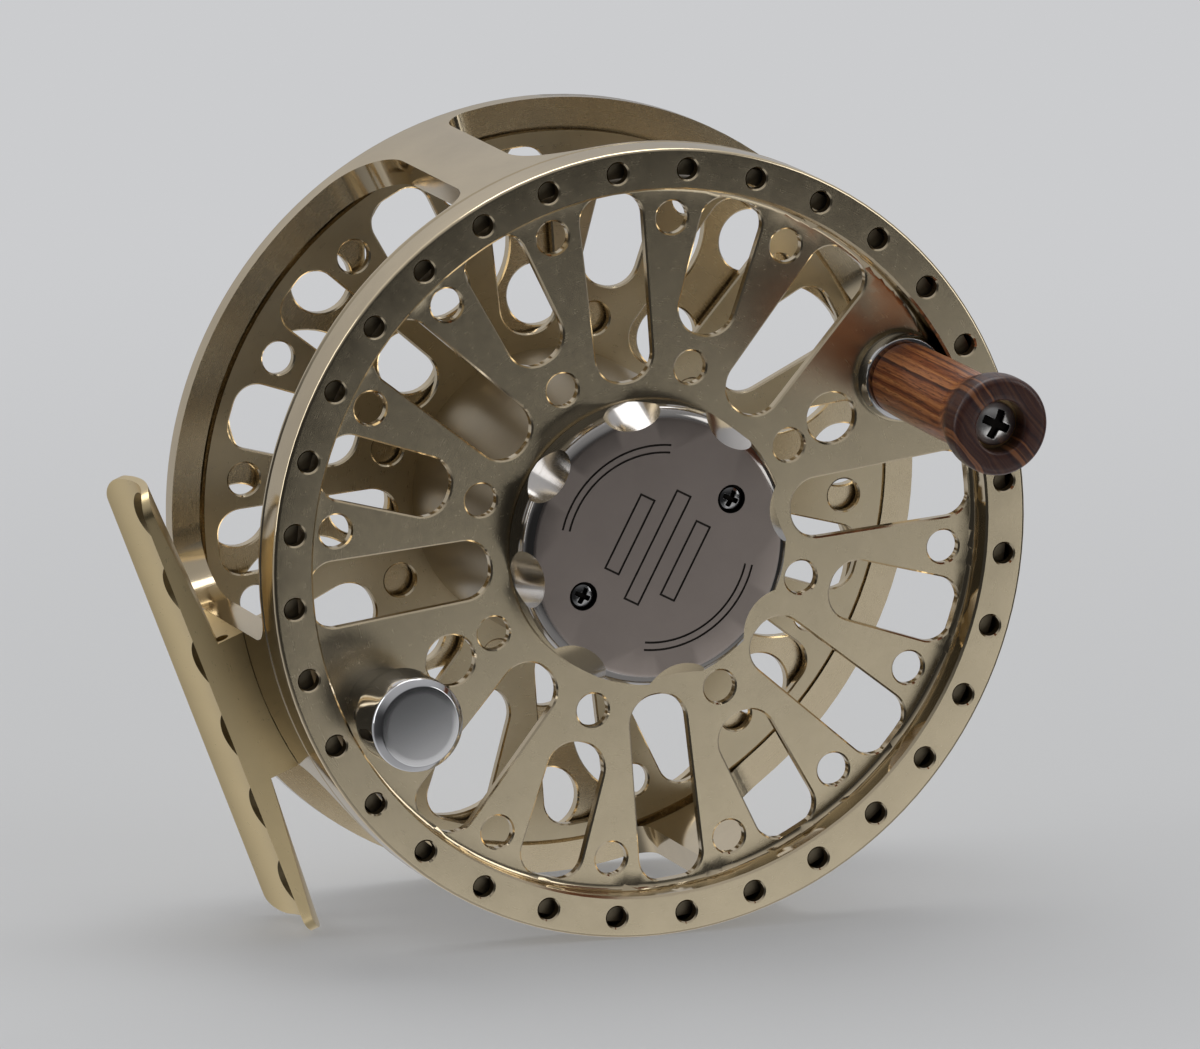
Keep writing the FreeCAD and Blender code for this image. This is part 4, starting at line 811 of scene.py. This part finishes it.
@dataclass
class Handle:
    """The turned wooden grip on its polished collar and post."""

    waist: float = 5.0  # radius of the grip's body, mm
    swell: float = 0.12  # growth of the body's radius at its middle
    flare: float = 8.2  # length of the trumpet tip
    flare_share: float = 0.86  # share of the tip's length in which it opens
    tip: float = 6.6  # radius
    lip: float = 1.0  # round of the tip's outer edge
    bore: float = 3.5  # radius of the screw's recess
    mouth: float = 0.45  # round of the recess's edge
    shoulder: float = 0.5  # height of the rounded end at the collar
    ripple: float = 0.012  # height of the tool ripples
    post: float = 2.6  # radius
    collar_front: float = 5.5  # radius
    collar_back: float = 6.0  # radius
    spigot: float = 2.0  # radius
    face_depth: float = 4.0  # of the spool's face behind its rim
    gap: float = 0.3  # between the grip and its collar
    segments: int = 120

    def grip_profile(self, base: float, end: float) -> np.ndarray:
        """Return the grip's closed profile.

        The body swells by a flat sine between its ends, and the tip opens by a smooth step:
        radius = waist + swell sin(pi u) + (tip - waist) v^2 (3 - 2v), where u goes from 0 at the
        collar to 1 at the tip, and v from 0 to 1 over the flare.

        Args:
            base: Place of the collar end in millimetres.
            end: Place of the tip in millimetres.

        Returns:
            (radius, y) of each point in millimetres.
        """
        u = np.linspace(0.0, 1.0, 90)
        run = base - end - self.shoulder - self.lip
        v = np.clip((u * run - (run - self.shoulder - self.flare)) / (self.flare * self.flare_share), 0, 1)
        body = self.waist + self.swell * np.sin(math.pi * u)
        radius = body + (self.tip - self.waist) * v ** 2 * (3 - 2 * v)
        outer = np.stack([radius, base - self.shoulder - u * run], 1)
        turn = np.linspace(0.0, math.pi / 2, 9)[1:]
        across, forwards = np.cos(turn), np.sin(turn)
        lip = np.stack([self.tip - self.lip * (1 - across), end + self.lip * (1 - forwards)], 1)
        mouth = np.stack([self.bore + self.mouth * (1 - forwards), end + self.mouth * (1 - across)], 1)
        inner = np.array([[self.bore, base - 0.1], [self.waist - 0.3, base]])
        shoulder = np.array([[self.waist, base - self.shoulder / 2]])
        return np.concatenate([shoulder, outer, lip, mouth, inner])

    def grip(self) -> bpy.types.Object:
        """Return the grip, with faint tool ripples that stay within its profile."""
        base, end = HANDLE_HIGH[1] / MM, HANDLE_LOW[1] / MM
        profile = divided(self.grip_profile(base, end), 0.8)
        angle = np.linspace(0.0, 2 * math.pi, self.segments, endpoint=False)
        place = profile[:, 1:2]
        waves = np.sin(3 * angle[None, :] + 0.35 * place) * np.cos(0.9 * place)
        ripple = self.ripple * (waves - 1)
        return revolved("handle_grip_turned", profile, HANDLE_CENTRE, self.segments, ripple)

    def collar(self) -> bpy.types.Object:
        """Return the collar, its post and the spigot in the spool's face, in one turned piece."""
        low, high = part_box("handle_post")
        end, back = low[1] / MM, high[1] / MM
        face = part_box("spool")[0][1] / MM + self.face_depth
        top = HANDLE_HIGH[1] / MM + self.gap
        profile = rounded_profile([
            (0.0, end, 0.0), (self.post, end, 0.25), (self.post, top, 0.12), (self.collar_front, top, 0.22),
            (self.collar_back, face - 1.5, 0.6), (self.collar_back + 0.02, face - 1.0, 0.3),
            (self.collar_back - 0.7, face, 0.12), (self.spigot, face, 0.0), (self.spigot, back, 0.2),
            (0.0, back, 0.0)], 8)
        return revolved("handle_collar_turned", profile, HANDLE_CENTRE, self.segments)

    def build(self) -> None:
        """Build and dress the handle."""
        settle(self.grip(), Finishes.WOOD, "handle", "rosewood", "handle_grip")
        post = self.collar()
        set_mark(post.data, "polish", np.ones(len(post.data.polygons)))
        settle(post, Finishes.COLLAR, "spool", "polished_steel", "handle_post")
        low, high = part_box("handle_screw")
        CrossScrew("handle_screw", "spool", Finishes.BRIGHT_SCREW, [HANDLE_CENTRE], low[1] / MM, high[1] / MM,
                   head=2.9, shank=1.25, height=1.7, dome=0.85).build()


@dataclass
class Counterweight:
    """The polished counterweight: a bevelled head on a slimmer neck."""

    head: float = 6.3  # radius, mm
    neck: float = 4.9  # radius
    bevel: float = 0.95
    neck_height: float = 6.6
    spigot: float = 2.0  # radius
    spigot_length: float = 1.5
    segments: int = 128

    def build(self) -> None:
        """Build and dress the counterweight."""
        low, high = WEIGHT_LOW, WEIGHT_HIGH
        top, back = low[1] / MM, high[1] / MM
        face = back - self.spigot_length
        shoulder = face - self.neck_height
        profile = divided(rounded_profile([
            (0.0, top, 0.0), (self.head - self.bevel, top, 0.16), (self.head, top + self.bevel, 0.30),
            (self.head, shoulder, 0.45), (self.neck, shoulder, 0.3), (self.neck, face, 0.0),
            (self.spigot, face, 0.0), (self.spigot, back, 0.2), (0.0, back, 0.0)], 8), 0.9)
        piece = revolved("counterweight_turned", profile, WEIGHT_CENTRE, self.segments)
        _, normals = face_table(piece.data)
        set_mark(piece.data, "polish", (np.abs(normals[:, 1]) < 0.99) * 1.0)
        settle(piece, Finishes.STEEL, "spool", "polished_steel", "counterweight")


@dataclass
class Hidden:
    """Frame nodes that keep their own meshes and only get a finish."""

    finishes: Mapping[str, Finishes] = field(default_factory=lambda: {
        "drag_shaft": Finishes.BEARING, "shaft_bearing_inner": Finishes.BEARING,
        "shaft_bearing_outer": Finishes.BEARING, "shaft_bearing_balls": Finishes.BEARING,
        "front_bearing_inner": Finishes.BEARING, "front_bearing_outer": Finishes.BEARING,
        "front_bearing_balls": Finishes.BEARING, "clutch_cup": Finishes.BEARING,
        "clutch_rollers": Finishes.BEARING, "steel_discs": Finishes.BEARING,
        "pressure_plate": Finishes.BEARING, "drag_springs": Finishes.BEARING,
        "knob_clip": Finishes.BEARING, "detent_ball": Finishes.BEARING, "detent_spring": Finishes.BEARING,
        "pawl_pin": Finishes.BEARING, "pawl_spring": Finishes.BEARING, "click_pawl": Finishes.BEARING,
        "housing_screws": Finishes.SCREW, "post_screw": Finishes.BRIGHT_SCREW,
        "counterweight_screw": Finishes.BRIGHT_SCREW, "click_gear": Finishes.BRONZE,
        "handle_bushes": Finishes.BRONZE, "cap_washer": Finishes.BRONZE, "cap_insert": Finishes.BEARING,
        "drag_piston": Finishes.KNOB, "housing_seal": Finishes.RUBBER, "shaft_seal": Finishes.RUBBER,
        "carbon_discs": Finishes.CARBON})

    def dress(self) -> None:
        """Give each node its finish in its object's material slots."""
        for node, finish in self.finishes.items():
            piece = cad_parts[node]
            if not piece.material_slots:
                piece.data.materials.append(None)
            for place in piece.material_slots:
                place.link = "OBJECT"
                place.material = finish.value.material()
            log.info("%s: finish %s", node, finish.name)


# ---------------------------------------------------------------- studio


@dataclass
class Softbox:
    """A soft area light that the camera doesn't see."""

    name: str
    place: Tuple[float, float, float]
    aim: Tuple[float, float, float]
    size: Tuple[float, float]
    power: float
    across: Tuple[float, float, float] = (0.0, 0.0, 0.0)  # direction of the width, or none

    def build(self) -> None:
        """Add the light."""
        data = bpy.data.lights.new(self.name, "AREA")
        data.shape = "RECTANGLE"
        data.size, data.size_y = self.size
        data.energy = self.power
        lamp = bpy.data.objects.new(self.name, data)
        lamp.location = self.place
        away = (Vector(self.place) - Vector(self.aim)).normalized()
        lamp.rotation_euler = away.to_track_quat("Z", "Y").to_euler()
        if any(self.across):
            upwards = away.cross(Vector(self.across)).normalized()
            lamp.rotation_euler = Matrix((upwards.cross(away), upwards, away)).transposed().to_euler()
        lamp.visible_camera = False
        bpy.context.scene.collection.objects.link(lamp)


@dataclass
class Studio:
    """Camera, floor, air and soft lights."""

    camera_place: Tuple[float, float, float] = (-0.7375, -1.9357, 0.4368)
    camera_aim: Tuple[float, float, float] = (0.3488, 0.9140, -0.2071)
    lens: float = 480.0
    floor_z: float = -0.05275
    backdrop: Colour = (0.612, 0.620, 0.636)
    backwards: Tuple[float, float, float] = (-0.17, 0.97, 0.17)  # away from the reel's front
    front_tone: float = 0.03
    back_tone: float = 0.38
    upper_tone: float = 0.34
    lower_tone: float = 0.30
    floor_radii: Tuple[float, ...] = (0.0, 0.1, 0.2, 0.5, 1.5, 8.0)
    boxes: Sequence[Softbox] = (
        Softbox("overhead_box", (0.10, 0.25, 1.10), (0.0, 0.0, 0.0), (0.9, 0.7), 4.6),
        Softbox("left_box", (-1.0, 0.10, 0.35), (0.0, 0.0, 0.0), (0.35, 0.9), 1.6),
        Softbox("right_box", (0.95, -0.55, 0.45), (0.0, 0.0, 0.0), (0.5, 0.9), 2.2),
        Softbox("front_card", (0.176, -0.316, -0.184), (0.047, 0.022, -0.107), (0.40, 0.24), 0.175,
                across=(0.859, 0.225, 0.459)),
    )

    def camera(self) -> None:
        """Add the camera and make it the scene's."""
        data = bpy.data.cameras.new("reel_camera")
        data.lens = self.lens
        data.sensor_width = 36.0
        data.sensor_fit = "HORIZONTAL"
        data.clip_start, data.clip_end = 0.05, 50.0
        camera = bpy.data.objects.new("reel_camera", data)
        camera.location = self.camera_place
        camera.rotation_euler = (-Vector(self.camera_aim)).to_track_quat("Z", "Y").to_euler()
        bpy.context.scene.collection.objects.link(camera)
        bpy.context.scene.camera = camera

    def floor(self) -> None:
        """Add the pale floor as a wide disc with a finer middle."""
        radius = np.array(self.floor_radii)
        angle = np.linspace(0.0, 2 * math.pi, 64, endpoint=False)
        points = np.stack([np.outer(radius, np.cos(angle)), np.outer(radius, np.sin(angle)),
                           np.full((len(radius), len(angle)), self.floor_z)], -1).reshape(-1, 3)
        disc = new_object("pale_floor", points, grid_faces(len(radius), len(angle), False).tolist())
        if disc.data.polygons[0].normal.z < 0:
            disc.data.flip_normals()
        disc.data.materials.append(Finishes.FLOOR.value.material())
        disc.visible_glossy = False
        disc.visible_shadow = False

    def air(self) -> None:
        """Make the world: an even backdrop for the camera, and a studio's soft tones in reflections.

        The tone is low in front and rises by a smooth step behind, above and below the reel, so
        that flat faces have something dark to reflect beside the bright card.
        """
        world = bpy.data.worlds.new("studio_air")
        world.use_nodes = True
        bpy.context.scene.world = world
        shader = Shader(world.node_tree)
        way = shader.node("ShaderNodeTexCoord", output="Generated")
        _, _, up = shader.parts(way)
        behind = shader.vector("DOT_PRODUCT", way, self.backwards, 1)
        tone = self.front_tone + self.back_tone * shader.step(behind, -0.30, 0.60)
        tone = tone + self.upper_tone * shader.step(up, 0.15, 0.85)
        tone = tone + self.lower_tone * shader.step(-1.0 * up, 0.36, 0.80)
        seen = shader.node("ShaderNodeLightPath", output="Is Camera Ray")
        glow = shader.node("ShaderNodeCombineXYZ", {}, {0: tone, 1: tone * 1.005, 2: tone * 1.03})
        colour = shader.mix(seen, glow, self.backdrop)
        light = shader.node("ShaderNodeBackground", {}, {"Color": colour, "Strength": 1.0})
        shader.node("ShaderNodeOutputWorld", {}, {"Surface": light})

    def build(self) -> None:
        """Build the whole studio."""
        self.camera()
        self.floor()
        self.air()
        for box in self.boxes:
            box.build()
        bpy.context.scene.view_settings.view_transform = "Standard"


def main() -> None:
    """Build every sub-assembly in order, then the studio."""
    logging.basicConfig(level=logging.INFO, format="%(message)s")
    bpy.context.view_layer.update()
    Frame().build()
    Spool().build()
    Cap().build()
    Handle().build()
    Counterweight().build()
    Hidden().dress()
    Studio().build()


if __name__ == "__main__":
    main()
